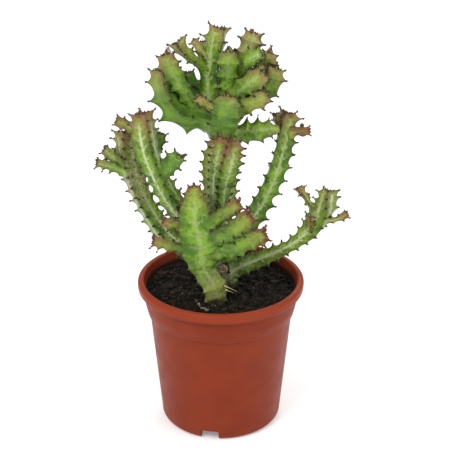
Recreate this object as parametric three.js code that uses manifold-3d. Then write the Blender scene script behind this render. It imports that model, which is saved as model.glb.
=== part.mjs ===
// A potted euphorbia: a round plastic nursery pot, its soil, and two ribbed, spiny plants.
// Millimetres, +Z up. The origin is the middle of the pot's foot, and -Y is the plant's front.
import * as THREE from 'three';
import { mergeVertices } from 'three/addons/utils/BufferGeometryUtils.js';
import Module from 'manifold-3d';

const wasm = await Module();
wasm.setup();

// ---------------------------------------------------------------- driving dimensions
const GAP = 0.3; // clearance between neighbouring solids
const SEAT_GAP = 0.4; // grown on a stem before it cuts back what grows from it
const ROUND_SIDES = 32; // flats round the pot and its soil

// The pot tapers to its foot, with a collar under its rolled lip. Its floor stands clear of
// the ground on a foot ring and on a round pad at its middle.
const POT = {
  height: 111.2, rim: 60, mouth: 55.6, lipHeight: 7.9, lipRound: 2.6, wall: 1.6,
  collarTop: 55.3, collarLow: 54.7, collarBend: 93, collarBottom: 52.9, step: 0.8,
  stepHeight: 85, bodyTop: 51.5,
  footRadius: 43.5, footFillet: 5, footRing: 2.1,
  floorUnder: 6.5, floorThick: 1.8, padRadius: 10, slope: 3,
};
const NOTCH = { width: 13.5, height: 7.5, depth: 16, bearings: [-11, 109, 229] }; // degrees from the front
const DRAIN = { radius: 4.5, ringRadius: 27, sides: 12 };

const SOIL = { top: 103.5, edge: 53, dish: 1.5, relief: 1.6, rings: [45, 34, 22, 11], seed: 7 };

// Where the two plants stand, with the round foot that each keeps in the soil.
const FRONT_FOOT = { at: [-6, -25], radius: 8.6, bottom: 80, top: 103 };
const BACK_FOOT = { at: [7, 1], radius: 6, bottom: 82, top: 103 };
const HOLE = { ease: 1.6, top: 120, sides: 16 }; // plain holes, wider than the feet by ease
const FOOT = { sides: 14, taper: 0.92 };

// A short side branch of the back plant was cut off low down, and left a round stub.
const CUT_STUB = { from: [4.4, 0, 119.5], to: [1, -11, 122.4], radius: 3.5, sides: 10 };

// ---------------------------------------------------------------- how a stem grows
const RIB_SHAPE = { 3: { valley: 0.42, sharp: 2.0 }, 4: { valley: 0.5, sharp: 1.8 } };
const NECK_ROUND = 0.86; // a stem leaves its parent nearly round, then its ribs rise
const RIB_RISE = { reach: 14, share: 0.3 }; // they are full this far up, or at this share of it
const TOOTH_LEAN = 0.12; // how far teeth lean forward, as a share of the radius
const CROWN = { lean: 0.05, teeth: 1.2, dome: 0.08 }; // the last teeth lean more, round a low dome
const SPINE = {
  radius: 0.45, stemLength: 2.8, shootLength: 2.3, root: 1, forward: 0.5, beside: 0.2, every: 3, sides: 3,
};
const STEM_FACETS = 3; // points from rib to rib round a stem
const SHOOT_FACETS = 2;
const FRONT = new THREE.Vector3(0, -1, 0);

// A stem's centre line is chosen by hand, with its radius at even steps from foot to crown.
// roll turns the first rib away from the front, and twist turns it further along the way.
// pitch is the way from tooth to tooth, and notch the dip between two teeth, by radius.
const STEM_FRONT = {
  ribs: 3, roll: 84, twist: -24, pitch: 12, notch: 0.2,
  path: [[-6, -25, 100], [-5.6, -25, 116], [-12.2, -25, 130], [-14.5, -25, 143], [-15.5, -25, 158],
    [-17.5, -24, 170], [-18, -22, 190]],
  girth: [8.6, 10, 10.6, 9.4, 9.9, 13, 16, 16.6, 16, 15, 13, 9, 6.5],
  shoots: [
    { path: [[-22, -25, 146], [-34, -28, 150], [-45, -30, 154]], girth: [4, 5.5, 7] },
    { path: [[-22, -24, 163], [-31, -28, 166], [-38, -31, 169]], girth: [4, 5, 6] },
    { path: [[-13, -25, 162], [1, -28, 173], [11.5, -30, 181.5]], girth: [5, 7, 7.5] },
    { path: [[-12, -26, 152], [5, -31, 162], [18.5, -33, 174]], girth: [5, 9, 9] },
    { path: [[-12, -25, 142], [7, -29, 148.5], [29, -33, 161]], girth: [5, 9.5, 8.5] },
    { path: [[-15, -22, 150], [-20, -12, 163], [-25, -6, 172]], girth: [4, 6, 6.5] },
  ],
};
const STEM_CENTRE = {
  ribs: 4, roll: 14, pitch: 8.5, notch: 0.18,
  path: [[7, 1, 100], [6, 1, 113], [3, 2, 130], [0, 3, 148], [-1, 3, 178], [-1, 2, 204], [1, 1, 217]],
  girth: [5.6, 6.8, 8.6, 9.3, 9.5, 12.3, 12.8, 12.5, 11.3, 8],
  shoots: [
    { path: [[-1, 0, 160], [-0.6, -4, 176], [2.6, -8.6, 200], [5.6, -11, 218]],
      girth: [4, 6.4, 8.4, 10, 11.8, 10.8], ribs: 4, roll: -25, pitch: 6.5, notch: 0.14 },
    { path: [[1, 5, 165], [1, 17, 176], [0, 25, 188]], girth: [5, 7.5, 7.5] },
    { path: [[0, 4, 140], [-4, 16, 148], [-7, 27, 160]], girth: [5, 7.5, 7] },
  ],
};
const HEAD = {
  ribs: 3, roll: 60, pitch: 10, notch: 0.18,
  habit: { pitch: 12, notch: 0.3 },
  path: [[1, 1, 217.3], [2, -5, 230], [3.5, -9, 241], [4.5, -11, 250]],
  girth: [7.6, 11, 12, 11.6],
  shoots: [
    { path: [[-1, 1, 220], [-5, 4, 235], [-6, 6, 257], [-4, 6, 276], [-1, 6, 291.5]],
      girth: [7, 10.5, 11, 11, 10.8, 10.8], roll: 25, pitch: 13 },
    { path: [[-2, 0, 227], [-14, -2, 232.5], [-25, -4, 235], [-33.5, -6, 243], [-38.5, -7, 254],
      [-41, -7, 267]],
      girth: [7.5, 11.2, 12.8, 12, 9.8, 8.2], roll: 18, pitch: 14.5 },
    { path: [[-17, 3, 236], [-24, -4, 253], [-31, -9, 268], [-35.5, -12, 280]],
      girth: [4, 7.6, 9, 8.5], roll: 50 },
    { path: [[-4, 6, 262], [-14, 3, 270], [-22, 0, 277], [-28, -3, 285]],
      girth: [3.4, 4.8, 5.6, 8], roll: 0, pitch: 13 },
    { path: [[-7, 6, 272], [-13.5, 3.4, 280], [-17.5, 2, 286]], girth: [2, 2.8, 4.2] },
    { path: [[-22, 3, 240], [-28, 6, 250], [-31, 8, 262]], girth: [5, 7.5, 7.5] },
    { path: [[-12, 6, 238], [-18, 9, 249], [-21.5, 11, 260]], girth: [5, 7, 6.6] },
    { path: [[0, -6, 239], [-8.5, -13.5, 247], [-15.5, -17, 252.5]], girth: [3, 3.6, 4.6], pitch: 9 },
    { path: [[3, 2, 240], [4, 0, 258], [4.8, -3, 270], [5, -5, 279]], girth: [6, 8, 8.8, 9.4] },
    { path: [[4, 4, 246], [8, 10, 262], [11, 13, 274]], girth: [4, 6, 6.5], roll: 0 },
    { path: [[6, 4, 246], [13, 8, 262], [18, 10, 276], [21.5, 11, 287]],
      girth: [5, 6.5, 9, 10], pitch: 10, notch: 0.36 },
    { path: [[10, 3, 260], [17, -1, 271], [22, -3, 275], [27, -4, 278]], girth: [4, 7, 7.5, 7], roll: 20 },
    { path: [[12, 8, 246], [24, 10, 259], [29.5, 9, 267], [33, 7, 275]],
      girth: [5, 7, 7.5, 8.5], pitch: 9 },
    { path: [[7, 1, 245], [13, -5, 255], [20, -9, 262.5], [27, -12, 268]],
      girth: [6, 9, 9.8, 9.6], roll: 66 },
    { path: [[5, 2, 230], [17, 4, 241], [28, 4, 248], [34.2, 4, 256], [37, 2, 266]],
      girth: [7, 8, 8, 8.6, 9] },
    { path: [[5, 0, 234], [14, -2, 241.5], [23, -6, 247], [30, -8, 251.5]], girth: [6, 7.5, 8, 7.8] },
    { path: [[3, 1, 219.5], [14, 3, 219.5], [25, 4, 220], [34.5, 5, 221], [40, 5, 221.5]],
      girth: [7, 10.4, 11.4, 10.8, 8, 3.4], roll: 14, pitch: 11 },
    { path: [[2, 4, 228], [2, 16, 240], [-2, 26, 254]], girth: [6, 8.5, 9] },
    { path: [[6, 5, 232], [16, 17, 240], [23, 27, 250]], girth: [5, 7.5, 8] },
    { path: [[-6, 6, 250], [-10, 17, 264], [-11, 22, 278]], girth: [5, 7.5, 8] },
  ],
};
const STEM_LEFT_INNER = {
  ribs: 4, roll: 22, pitch: 8.5, notch: 0.18,
  path: [[0, 2, 127], [-12.5, 1, 139.5], [-23.5, -2, 156], [-40.5, -5, 185], [-50, -6, 210],
    [-53, -6, 236]],
  girth: [5, 7.4, 8.2, 8.4, 8.7, 9.2, 9.4, 9.6, 9.4],
  shoots: [
    { path: [[-54, -4, 222], [-63, -3, 228], [-70, -2, 231]], girth: [4, 5, 5.5] },
    { path: [[-50, -3, 201], [-45, 4, 209], [-42, 8, 217]], girth: [4, 5.5, 6.5] },
    { path: [[-44, -6, 188], [-36, -6, 197], [-28.5, -7, 206]], girth: [4, 8, 8.8], roll: 30 },
    { path: [[-40, -2, 176], [-44, 8, 184], [-48, 16, 194]], girth: [4, 6.5, 7] },
  ],
};
const STEM_LEFT_OUTER = {
  ribs: 4, roll: -12, pitch: 8.5, notch: 0.2,
  path: [[1, 0, 120], [-15, 2, 125], [-35, 6, 137.5], [-51.5, 9, 161], [-62, 11, 187], [-65, 11, 204],
    [-66, 11, 216.5]],
  girth: [5, 7, 8.1, 8.5, 8.5, 8.9, 8.6, 9.6, 9.4],
  shoots: [
    { path: [[-64, 9, 188], [-74, 6, 201], [-80, 5, 207]], girth: [4, 5, 5.5] },
    { path: [[-64, 9, 188], [-77, 4, 196], [-85, 2, 199]], girth: [4, 5, 5.5] },
  ],
};
const STEM_RIGHT = {
  ribs: 3, roll: 52, twist: 44, pitch: 9.6, notch: 0.28,
  path: [[1, 3, 133], [11, 4, 143.5], [26.2, 8, 162.5], [37.8, 12, 188], [44, 15, 212], [46.5, 16, 228]],
  girth: [5, 9, 10.7, 10.6, 10, 9.4, 8.8, 8.8, 10.6],
  shoots: [
    { path: [[48, 15, 216], [55, 14, 218], [61, 13, 218.5]], girth: [4, 4.4, 5] },
    { path: [[44, 15, 210], [40.5, 14, 219], [38, 13, 230]], girth: [3, 4, 4.6], roll: 0 },
    { path: [[38, 13, 184], [44, 23, 194], [47, 31, 206]], girth: [4, 6.5, 7] },
  ],
};
const STEM_RIGHT_LOW = {
  ribs: 3, roll: 48, twist: -54, pitch: 8.5, notch: 0.26,
  path: [[3, 0, 113], [18, -4, 123.5], [34, -7, 131], [52, -10, 142], [65.6, -12, 155.5], [71.6, -12, 168],
    [74, -12, 182]],
  girth: [5, 7.6, 7.4, 7, 6.2, 7.2, 10.2, 10.6, 7.8],
  shoots: [
    { path: [[67, -12, 164], [61, -8, 173], [54.5, -5, 182]], girth: [2.4, 2.4, 5], roll: 0 },
    { path: [[72, -12, 162], [80, -16, 164], [86.5, -18, 169]], girth: [3.4, 2.4, 4.4] },
    { path: [[63, -12, 155], [62, -18, 161], [61.6, -21, 167]], girth: [3.4, 3.6, 3.2], roll: 0 },
  ],
};
const SHOOT_HABIT = { ribs: 3, roll: 60, twist: 0, pitch: 9.5, notch: 0.34 };

// ---------------------------------------------------------------- solids from geometry
function weld(geometry) {
  const bare = geometry.clone();
  bare.deleteAttribute('normal');
  bare.deleteAttribute('uv');
  return mergeVertices(bare, 1e-4);
}

function toSolid(geometry) {
  const { attributes, index } = weld(geometry);
  return new wasm.Manifold(new wasm.Mesh({
    numProp: 3,
    vertProperties: new Float32Array(attributes.position.array),
    triVerts: new Uint32Array(index.array),
  }));
}

function toGeometry(solid) {
  const { vertProperties, triVerts } = solid.getMesh();
  const geometry = new THREE.BufferGeometry();
  geometry.setAttribute('position', new THREE.BufferAttribute(new Float32Array(vertProperties), 3));
  geometry.setIndex(new THREE.BufferAttribute(new Uint32Array(triVerts), 1));
  return geometry;
}

function largestBody(solid) {
  const bodies = solid.decompose();
  return bodies.reduce((best, body) => (body.volume() > best.volume() ? body : best));
}

function joinAll(solids) {
  return solids.reduce((whole, solid) => whole.add(solid));
}

// A closed cylinder, or a cone, from one point to another.
function rod(from, to, fromRadius, toRadius, sides) {
  const start = new THREE.Vector3(...from);
  const end = new THREE.Vector3(...to);
  const along = end.clone().sub(start);
  const geometry = new THREE.CylinderGeometry(toRadius, fromRadius, along.length(), sides);
  const turn = new THREE.Quaternion().setFromUnitVectors(new THREE.Vector3(0, 1, 0), along.normalize());
  geometry.applyQuaternion(turn);
  const middle = start.add(end).multiplyScalar(0.5);
  return geometry.translate(middle.x, middle.y, middle.z);
}

// Points of a round in a profile, by its centre, radius and angles in degrees.
function round(centreRadius, centreHeight, radius, from, to, steps) {
  return Array.from({ length: steps + 1 }, (_, i) => {
    const angle = THREE.MathUtils.degToRad(THREE.MathUtils.lerp(from, to, i / steps));
    return [centreRadius + radius * Math.cos(angle), centreHeight + radius * Math.sin(angle)];
  });
}

function lathe(profile) {
  const points = profile.map(([radius, height]) => new THREE.Vector2(radius, height));
  return new THREE.LatheGeometry(points, ROUND_SIDES).rotateX(Math.PI / 2);
}

// ---------------------------------------------------------------- pot
function potInnerRadius(height) {
  const body = POT.footRadius + ((POT.bodyTop - POT.footRadius) * height) / POT.stepHeight;
  return body - POT.wall;
}

function potProfile() {
  const { footRadius, footFillet, floorUnder, floorThick, padRadius, slope, rim, lipRound } = POT;
  const lipBottom = POT.height - POT.lipHeight;
  const floorTop = floorUnder + floorThick;
  const footEdge = footRadius - footFillet;
  const lipEdge = rim - lipRound;
  const lipTop = POT.height - lipRound;
  return [
    [0, 0], [padRadius, 0], [padRadius + slope, floorUnder],
    [footEdge - POT.footRing - 1, floorUnder], [footEdge - POT.footRing, 0],
    ...round(footEdge, footFillet, footFillet, -90, 0, 2),
    [POT.bodyTop, POT.stepHeight],
    [POT.collarBottom, POT.stepHeight + POT.step], [POT.collarLow, POT.collarBend],
    [POT.collarTop, lipBottom - POT.step],
    ...round(lipEdge, lipBottom + lipRound, lipRound, -90, 0, 1),
    ...round(lipEdge, lipTop, lipRound, 0, 90, 2),
    ...round(POT.mouth + lipRound, lipTop, lipRound, 90, 180, 2).slice(1),
    [POT.collarTop - POT.wall, lipBottom],
    [potInnerRadius(POT.stepHeight), POT.stepHeight], [potInnerRadius(floorTop), floorTop],
    [padRadius + slope - 1, floorTop], [padRadius - 1, floorThick], [0, floorThick],
  ];
}

// Bearings run from the front of the pot round to its right.
function atBearing(degrees, radius) {
  const angle = THREE.MathUtils.degToRad(degrees);
  return [radius * Math.sin(angle), -radius * Math.cos(angle)];
}

function makePot() {
  let pot = toSolid(lathe(potProfile()));
  for (const bearing of NOTCH.bearings) {
    const [x, y] = atBearing(bearing, POT.footRadius);
    const notch = new THREE.BoxGeometry(NOTCH.width, NOTCH.depth, 2 * NOTCH.height);
    notch.rotateZ(THREE.MathUtils.degToRad(bearing)).translate(x, y, 0);
    const place = atBearing(bearing, DRAIN.ringRadius);
    const [under, over] = [POT.floorUnder - 1, POT.floorUnder + POT.floorThick + 1];
    const drain = rod([...place, under], [...place, over], DRAIN.radius, DRAIN.radius, DRAIN.sides);
    pot = pot.subtract(toSolid(notch)).subtract(toSolid(drain));
  }
  return pot;
}

// ---------------------------------------------------------------- soil
function seededRandom(seed) {
  let state = seed;
  return () => {
    state = (state * 1664525 + 1013904223) % 4294967296;
    return state / 4294967296;
  };
}

function soilProfile() {
  const floorTop = POT.floorUnder + POT.floorThick + GAP;
  const dishAt = (radius) => SOIL.top - SOIL.dish * (radius / SOIL.edge) ** 2;
  return [
    [0, POT.floorThick + GAP], [POT.padRadius - 1 - GAP, POT.floorThick + GAP],
    [POT.padRadius + POT.slope - 1 - GAP, floorTop], [potInnerRadius(floorTop) - GAP, floorTop],
    [potInnerRadius(POT.stepHeight) - GAP, POT.stepHeight],
    ...[SOIL.edge, ...SOIL.rings, 0].map((radius) => [radius, dishAt(radius)]),
  ];
}

// The top is uneven: every point of it inside the edge is raised or sunk a little.
function roughen(geometry) {
  const position = geometry.attributes.position;
  const random = seededRandom(SOIL.seed);
  for (let i = 0; i < position.count; i += 1) {
    const radius = Math.hypot(position.getX(i), position.getY(i));
    if (radius < SOIL.edge - 1 && position.getZ(i) > SOIL.top - 2 * SOIL.dish) {
      position.setZ(i, position.getZ(i) + SOIL.relief * (random() - 0.5));
    }
  }
  return geometry;
}

function makeSoil() {
  let soil = toSolid(roughen(weld(lathe(soilProfile()))));
  for (const { at, radius, bottom } of [FRONT_FOOT, BACK_FOOT]) {
    const wide = radius + HOLE.ease;
    const hole = rod([...at, bottom - GAP], [...at, HOLE.top], wide, wide, HOLE.sides);
    soil = soil.subtract(toSolid(hole));
  }
  return soil;
}

// ---------------------------------------------------------------- stems
const smooth = (from, to, value) => THREE.MathUtils.smoothstep(value, from, to);

// The centre line with its length, and the frame across it at any distance from the foot.
function centreLine(path) {
  const points = path.map((point) => new THREE.Vector3(...point));
  const curve = new THREE.CatmullRomCurve3(points, false, 'centripetal');
  curve.arcLengthDivisions = 400;
  const length = curve.getLength();
  const frameAt = (distance) => {
    const share = THREE.MathUtils.clamp(distance / length, 0, 1);
    const along = curve.getTangentAt(share);
    const centre = curve.getPointAt(share).addScaledVector(along, distance - share * length);
    const front = FRONT.clone().addScaledVector(along, -FRONT.dot(along)).normalize();
    const side = new THREE.Vector3().crossVectors(along, front);
    return { centre, along, front, side };
  };
  return { length, frameAt };
}

function girthAt(girth, share) {
  const place = THREE.MathUtils.clamp(share, 0, 1) * (girth.length - 1);
  const step = Math.min(Math.floor(place), girth.length - 2);
  return THREE.MathUtils.lerp(girth[step], girth[step + 1], place - step);
}

// Teeth on neighbouring ribs stand at alternate heights, but meet at the crown.
const toothShift = (rib) => (rib % 2) / 2;

// One point of the skin. turn counts ribs round the stem (0, 1, 2 are rib edges, 0.5 a
// valley), and teeth counts tooth steps back from the crown.
function skinPoint(stem, line, turn, teeth, extra) {
  const { valley, sharp } = RIB_SHAPE[stem.ribs];
  const rib = Math.floor(turn) % stem.ribs;
  const next = (rib + 1) % stem.ribs;
  const shift = THREE.MathUtils.lerp(toothShift(rib), toothShift(next), turn % 1);
  const distance = Math.max(line.length - stem.pitch * (teeth + shift * Math.min(1, teeth)), 0);
  const share = distance / line.length;
  const radius = girthAt(stem.girth, share) + extra;

  const fromRib = 2 * Math.min(turn % 1, 1 - (turn % 1));
  const ribbed = smooth(0, Math.min(RIB_RISE.share, RIB_RISE.reach / line.length), share);
  const edge = (1 - fromRib) ** sharp;
  const between = Math.sin(Math.PI * (teeth % 1));
  const dip = stem.notch * between * ribbed;
  const core = THREE.MathUtils.lerp(NECK_ROUND, valley, ribbed);
  const reach = radius * (core + edge * (1 - core - dip));

  const crown = 1 - smooth(0, CROWN.teeth, teeth);
  const lean = radius * edge * ribbed * (1 - between) * (TOOTH_LEAN + CROWN.lean * crown);
  const { centre, along, front, side } = line.frameAt(distance);
  const angle = (2 * Math.PI * turn) / stem.ribs
    + THREE.MathUtils.degToRad(stem.roll + (stem.twist ?? 0) * share);
  return centre
    .addScaledVector(front, reach * Math.cos(angle))
    .addScaledVector(side, reach * Math.sin(angle))
    .addScaledVector(along, lean);
}

// The plain round ring that closes a stem at its foot.
function footRing(stem, line, around, extra) {
  const { centre, front, side } = line.frameAt(-extra);
  const radius = (stem.girth[0] + extra) * NECK_ROUND;
  return Array.from({ length: around }, (_, i) => {
    const angle = (2 * Math.PI * i) / around + THREE.MathUtils.degToRad(stem.roll);
    return centre.clone()
      .addScaledVector(front, radius * Math.cos(angle))
      .addScaledVector(side, radius * Math.sin(angle));
  });
}

// A closed stem: rings at its teeth and half way between them, from the foot to the crown.
function makeStem(stem, facets, extra) {
  const line = centreLine(stem.path);
  const around = stem.ribs * facets;
  const halfSteps = Math.max(Math.floor(2 * (line.length / stem.pitch - 1)), 0);
  const vertices = footRing(stem, line, around, extra);
  for (let half = halfSteps; half >= 0; half -= 1) {
    for (let i = 0; i < around; i += 1) vertices.push(skinPoint(stem, line, i / facets, half / 2, extra));
  }
  const last = vertices.length - around;
  const dome = line.length + CROWN.dome * stem.girth.at(-1) + extra;
  const foot = vertices.push(line.frameAt(-extra).centre) - 1;
  const crown = vertices.push(line.frameAt(dome).centre) - 1;
  const faces = [];
  for (let i = 0; i < around; i += 1) {
    const j = (i + 1) % around;
    for (let low = 0; low < last; low += around) {
      const high = low + around;
      faces.push(low + i, low + j, high + j, low + i, high + j, high + i);
    }
    faces.push(foot, j, i, last + i, last + j, crown);
  }
  const geometry = new THREE.BufferGeometry().setFromPoints(vertices);
  return toSolid(geometry.setIndex(faces));
}

// A spine stands beside the tip of each last tooth and of every third tooth below it.
function stemSpines(stem, facets, spineLength) {
  const line = centreLine(stem.path);
  const spines = [];
  const toothCount = Math.max(Math.floor(line.length / stem.pitch - 1), 1);
  for (let rib = 0; rib < stem.ribs; rib += 1) {
    for (let tooth = 0; tooth < toothCount; tooth += 1) {
      if (tooth > 0 && (tooth + rib) % SPINE.every > 0) continue;
      const tip = skinPoint(stem, line, rib, tooth, 0);
      const ringBeside = tooth > 0 ? tooth - 0.5 : 0.5;
      const turnBeside = tooth > 0 ? rib + 1 / facets : rib + stem.ribs - 1 / facets;
      const base = tip.clone().multiplyScalar(1 - 2 * SPINE.beside)
        .addScaledVector(skinPoint(stem, line, rib, ringBeside, 0), SPINE.beside)
        .addScaledVector(skinPoint(stem, line, turnBeside, ringBeside, 0), SPINE.beside);
      const { centre, along } = line.frameAt(line.length - stem.pitch * tooth);
      const outward = tip.clone().sub(centre).normalize().addScaledVector(along, SPINE.forward).normalize();
      const root = base.clone().addScaledVector(outward, -SPINE.root);
      const point = base.clone().addScaledVector(outward, spineLength);
      spines.push(toSolid(rod(root.toArray(), point.toArray(), SPINE.radius, 0, SPINE.sides)));
    }
  }
  return spines;
}

const shootsOf = (stem) => stem.shoots.map((shoot) => ({ ...SHOOT_HABIT, ...stem.habit, ...shoot }));

// The bare body of a stem with its side shoots and round pieces, grown by extra all over.
function makeBody(stem, roundPieces, extra) {
  const parts = [makeStem(stem, STEM_FACETS, extra)];
  for (const shoot of shootsOf(stem)) parts.push(makeStem(shoot, SHOOT_FACETS, extra));
  for (const piece of roundPieces) parts.push(piece(extra));
  return joinAll(parts);
}

function allSpines(stem) {
  const own = stemSpines(stem, STEM_FACETS, SPINE.stemLength);
  const onShoots = (shoot) => stemSpines(shoot, SHOOT_FACETS, SPINE.shootLength);
  return [...own, ...shootsOf(stem).flatMap(onShoots)];
}

const makeFoot = ({ at, radius, bottom, top }) => (extra) => {
  const narrow = FOOT.taper * radius + extra;
  return toSolid(rod([...at, bottom - extra], [...at, top + extra], narrow, radius + extra, FOOT.sides));
};

const makeStub = ({ from, to, radius, sides }) => (extra) => (
  toSolid(rod(from, to, radius + extra, radius + extra, sides)));

// ---------------------------------------------------------------- the plants
// Each stem is cut back by the ones before it, so that it sits on its parent at GAP.
function makePlants() {
  const plan = [
    ['stem_centre', STEM_CENTRE, [makeFoot(BACK_FOOT), makeStub(CUT_STUB)]],
    ['stem_front', STEM_FRONT, [makeFoot(FRONT_FOOT)]],
    ['head_shoots', HEAD, []],
    ['stem_left_inner', STEM_LEFT_INNER, []],
    ['stem_left_outer', STEM_LEFT_OUTER, []],
    ['stem_right', STEM_RIGHT, []],
    ['stem_right_low', STEM_RIGHT_LOW, []],
  ];
  const bodies = [];
  const clearances = [];
  for (const [name, stem, roundPieces] of plan) {
    let body = makeBody(stem, roundPieces, 0);
    for (const clearance of clearances) body = body.subtract(clearance);
    bodies.push({ name, stem, body: largestBody(body) });
    clearances.push(makeBody(stem, roundPieces, SEAT_GAP));
  }
  return bodies.map((plant, i) => ({ ...plant, body: addSpines(plant, clearances, i) }));
}

// A spine that would touch a neighbouring stem is left out.
function addSpines({ stem, body }, clearances, own) {
  const others = joinAll(clearances.filter((_, i) => i !== own));
  const clear = allSpines(stem).filter((spine) => spine.intersect(others).isEmpty());
  return largestBody(joinAll([body, ...clear]));
}

// ---------------------------------------------------------------- the scene
function addPiece(group, name, solid, colour, roughness) {
  const material = new THREE.MeshStandardMaterial({ color: colour, roughness, metalness: 0 });
  const mesh = new THREE.Mesh(toGeometry(solid), material);
  mesh.name = name;
  group.add(mesh);
}

const pottedEuphorbia = new THREE.Group();
addPiece(pottedEuphorbia, 'pot', makePot(), 0xa5482c, 0.55);
addPiece(pottedEuphorbia, 'potting_soil', makeSoil(), 0x231a17, 0.95);
for (const { name, body } of makePlants()) addPiece(pottedEuphorbia, name, body, 0x6f9540, 0.5);

export default pottedEuphorbia;
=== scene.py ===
# %% [markdown]
# # A potted euphorbia
#
# The object is a young candelabra plant in a 12 cm nursery pot. Its CAD solids fix every
# size and place: pot, soil and seven stems. Here each of them gets a finer mesh that keeps
# its form. The fine stems grow from the same centre lines as the solids, so the lists of
# points below repeat those of the part, in millimetres.

# %% The imported CAD model as a fixed frame
import math

import bmesh
import bpy
import numpy as np
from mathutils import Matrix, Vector, noise
from mathutils.bvhtree import BVHTree


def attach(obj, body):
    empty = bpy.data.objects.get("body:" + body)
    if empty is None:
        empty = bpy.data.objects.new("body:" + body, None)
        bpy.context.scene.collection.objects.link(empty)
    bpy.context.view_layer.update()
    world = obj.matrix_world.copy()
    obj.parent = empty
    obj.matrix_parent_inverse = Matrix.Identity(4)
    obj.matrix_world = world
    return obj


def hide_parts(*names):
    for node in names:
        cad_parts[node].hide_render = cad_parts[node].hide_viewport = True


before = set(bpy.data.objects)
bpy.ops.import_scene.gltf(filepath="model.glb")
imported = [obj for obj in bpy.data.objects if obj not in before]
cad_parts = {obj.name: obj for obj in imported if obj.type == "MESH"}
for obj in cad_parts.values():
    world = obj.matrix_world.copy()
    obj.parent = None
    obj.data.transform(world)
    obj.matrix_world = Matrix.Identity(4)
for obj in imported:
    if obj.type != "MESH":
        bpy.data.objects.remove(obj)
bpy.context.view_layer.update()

MM = 0.001

# %% [markdown]
# ## The pot's and the plant's sizes
#
# The pot is a lathe shape, so a handful of radii and heights describe it. The two plants
# stand in the soil on round feet. A stem is a centre line with a girth (its radius at even
# steps), a number of ribs, and the pitch from tooth to tooth.

# %% Pot and soil sizes
POT = dict(
    height=111.2, rim=60, mouth=55.6, lip_height=7.9, lip_round=2.6, lip_curl=2.2, wall=1.6,
    collar_top=55.3, collar_low=54.7, collar_bend=93, collar_bottom=52.9, step=0.8,
    step_height=85, body_top=51.5,
    foot_radius=43.5, foot_fillet=5, foot_ring=2.1,
    floor_under=6.5, floor_thick=1.8, pad_radius=10, slope=3,
)
NOTCH = dict(width=13.5, height=7.5, depth=16, corner=1.2, bearings=(-11, 109, 229))
DRAIN = dict(radius=4.5, ring_radius=27)
SOIL = dict(top=103.5, edge=54.2, dish=1.5, shoulder_radius=53.4, shoulder_height=100.2)
FRONT_FOOT = dict(at=(-6, -25), radius=8.6, bottom=80, top=103)
BACK_FOOT = dict(at=(7, 1), radius=6, bottom=82, top=103)
CUT_STUB = dict(start=(4.4, 0, 119.5), end=(1, -11, 122.4), radius=3.5)
print("pot", POT["height"], "mm high; soil at", SOIL["top"], "mm")

# %% The front plant and the back plant's main stem
# Form: path is the centre line and girth its radius at even steps. roll turns the first rib
# away from the front, and twist turns it further along the way, both in degrees. notch is
# the depth of the arcs between teeth, as a share of the radius, and rise is how many mm the
# ribs take to come out of the round foot.
# Colour: tone goes from bluish (-1) to yellowish green (1) and tan (2), foot_tone is the same
# low on the stem, blush goes from olive-brown (0) to red (1), and stripe is how pale the
# middle of each face is. ripe is how far the crown has coloured, old how corky the base is,
# and worn how corky the stretch is whose middle stands at the share worn_at of the stem.
# A habit holds what all shoots of a stem share, and dry_spikes are dead, pale spikes.
FRONT_STEM = dict(
    ribs=3, roll=84, twist=-24, pitch=10, notch=0.12, rise=6,
    tone=0.1, foot_tone=1.25, blush=1, stripe=0.4, ripe=0.9,
    habit=dict(stripe=0.06, tone=-0.3),
    dry_spikes=[((4.4, -29, 117.6), (12.6, -30, 114.2)), ((4.2, -31, 116), (9.4, -31, 114.2))],
    path=[(-6, -25, 100), (-5.6, -25, 116), (-12.2, -25, 130), (-14.5, -25, 143),
          (-15.5, -25, 158), (-17.5, -24, 170), (-18, -22, 190)],
    girth=[8.6, 10, 10.6, 9.4, 9.9, 13, 16, 16.6, 16, 15, 13, 9, 6.5],
    shoots=[
        dict(path=[(-22, -25, 146), (-34, -28, 150), (-45, -30, 154)], girth=[4, 5.5, 7],
             blush=0.6),
        dict(path=[(-22, -24, 163), (-31, -28, 166), (-38, -31, 169)], girth=[4, 5, 6], blush=0.6),
        dict(path=[(-13, -25, 162), (1, -28, 173), (11.5, -30, 181.5)], girth=[5, 7, 7.5],
             blush=0.7),
        dict(path=[(-12, -26, 152), (5, -31, 162), (18.5, -33, 174)], girth=[5, 9, 9], blush=1),
        dict(path=[(-12, -25, 142), (7, -29, 148.5), (29, -33, 161)], girth=[5, 9.5, 8.5], blush=1),
        dict(path=[(-15, -22, 150), (-20, -12, 163), (-25, -6, 172)], girth=[4, 6, 6.5], blush=0.8),
    ],
)
MAIN_STEM = dict(
    ribs=4, roll=2, pitch=8, notch=0.11,
    tone=1.1, foot_tone=-1.4, blush=0.5, stripe=1.6, ripe=1, old=0.2, worn_at=0.55,
    path=[(7, 1, 100), (6, 1, 113), (3, 2, 130), (0, 3, 148), (-1, 3, 178), (-1, 2, 204),
          (1, 1, 217)],
    girth=[5.6, 6.8, 8.6, 9.3, 9.5, 12.3, 12.8, 12.5, 11.3, 8],
    shoots=[
        dict(path=[(-1, 0, 160), (-0.6, -4, 176), (2.6, -8.6, 200), (5.6, -11, 218)], ribs=4,
             girth=[4, 6.4, 8.4, 10, 11.8, 10.8], roll=-13, notch=0.14, pitch=6.5,
             tone=0.1, blush=0.7, stripe=0.95, ripe=1.3),
        dict(path=[(1, 5, 165), (1, 17, 176), (0, 25, 188)], girth=[5, 7.5, 7.5]),
        dict(path=[(0, 4, 140), (-4, 16, 148), (-7, 27, 160)], girth=[5, 7.5, 7]),
    ],
)
print("shoots:", len(FRONT_STEM["shoots"]), "in front,", len(MAIN_STEM["shoots"]), "behind")

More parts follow.
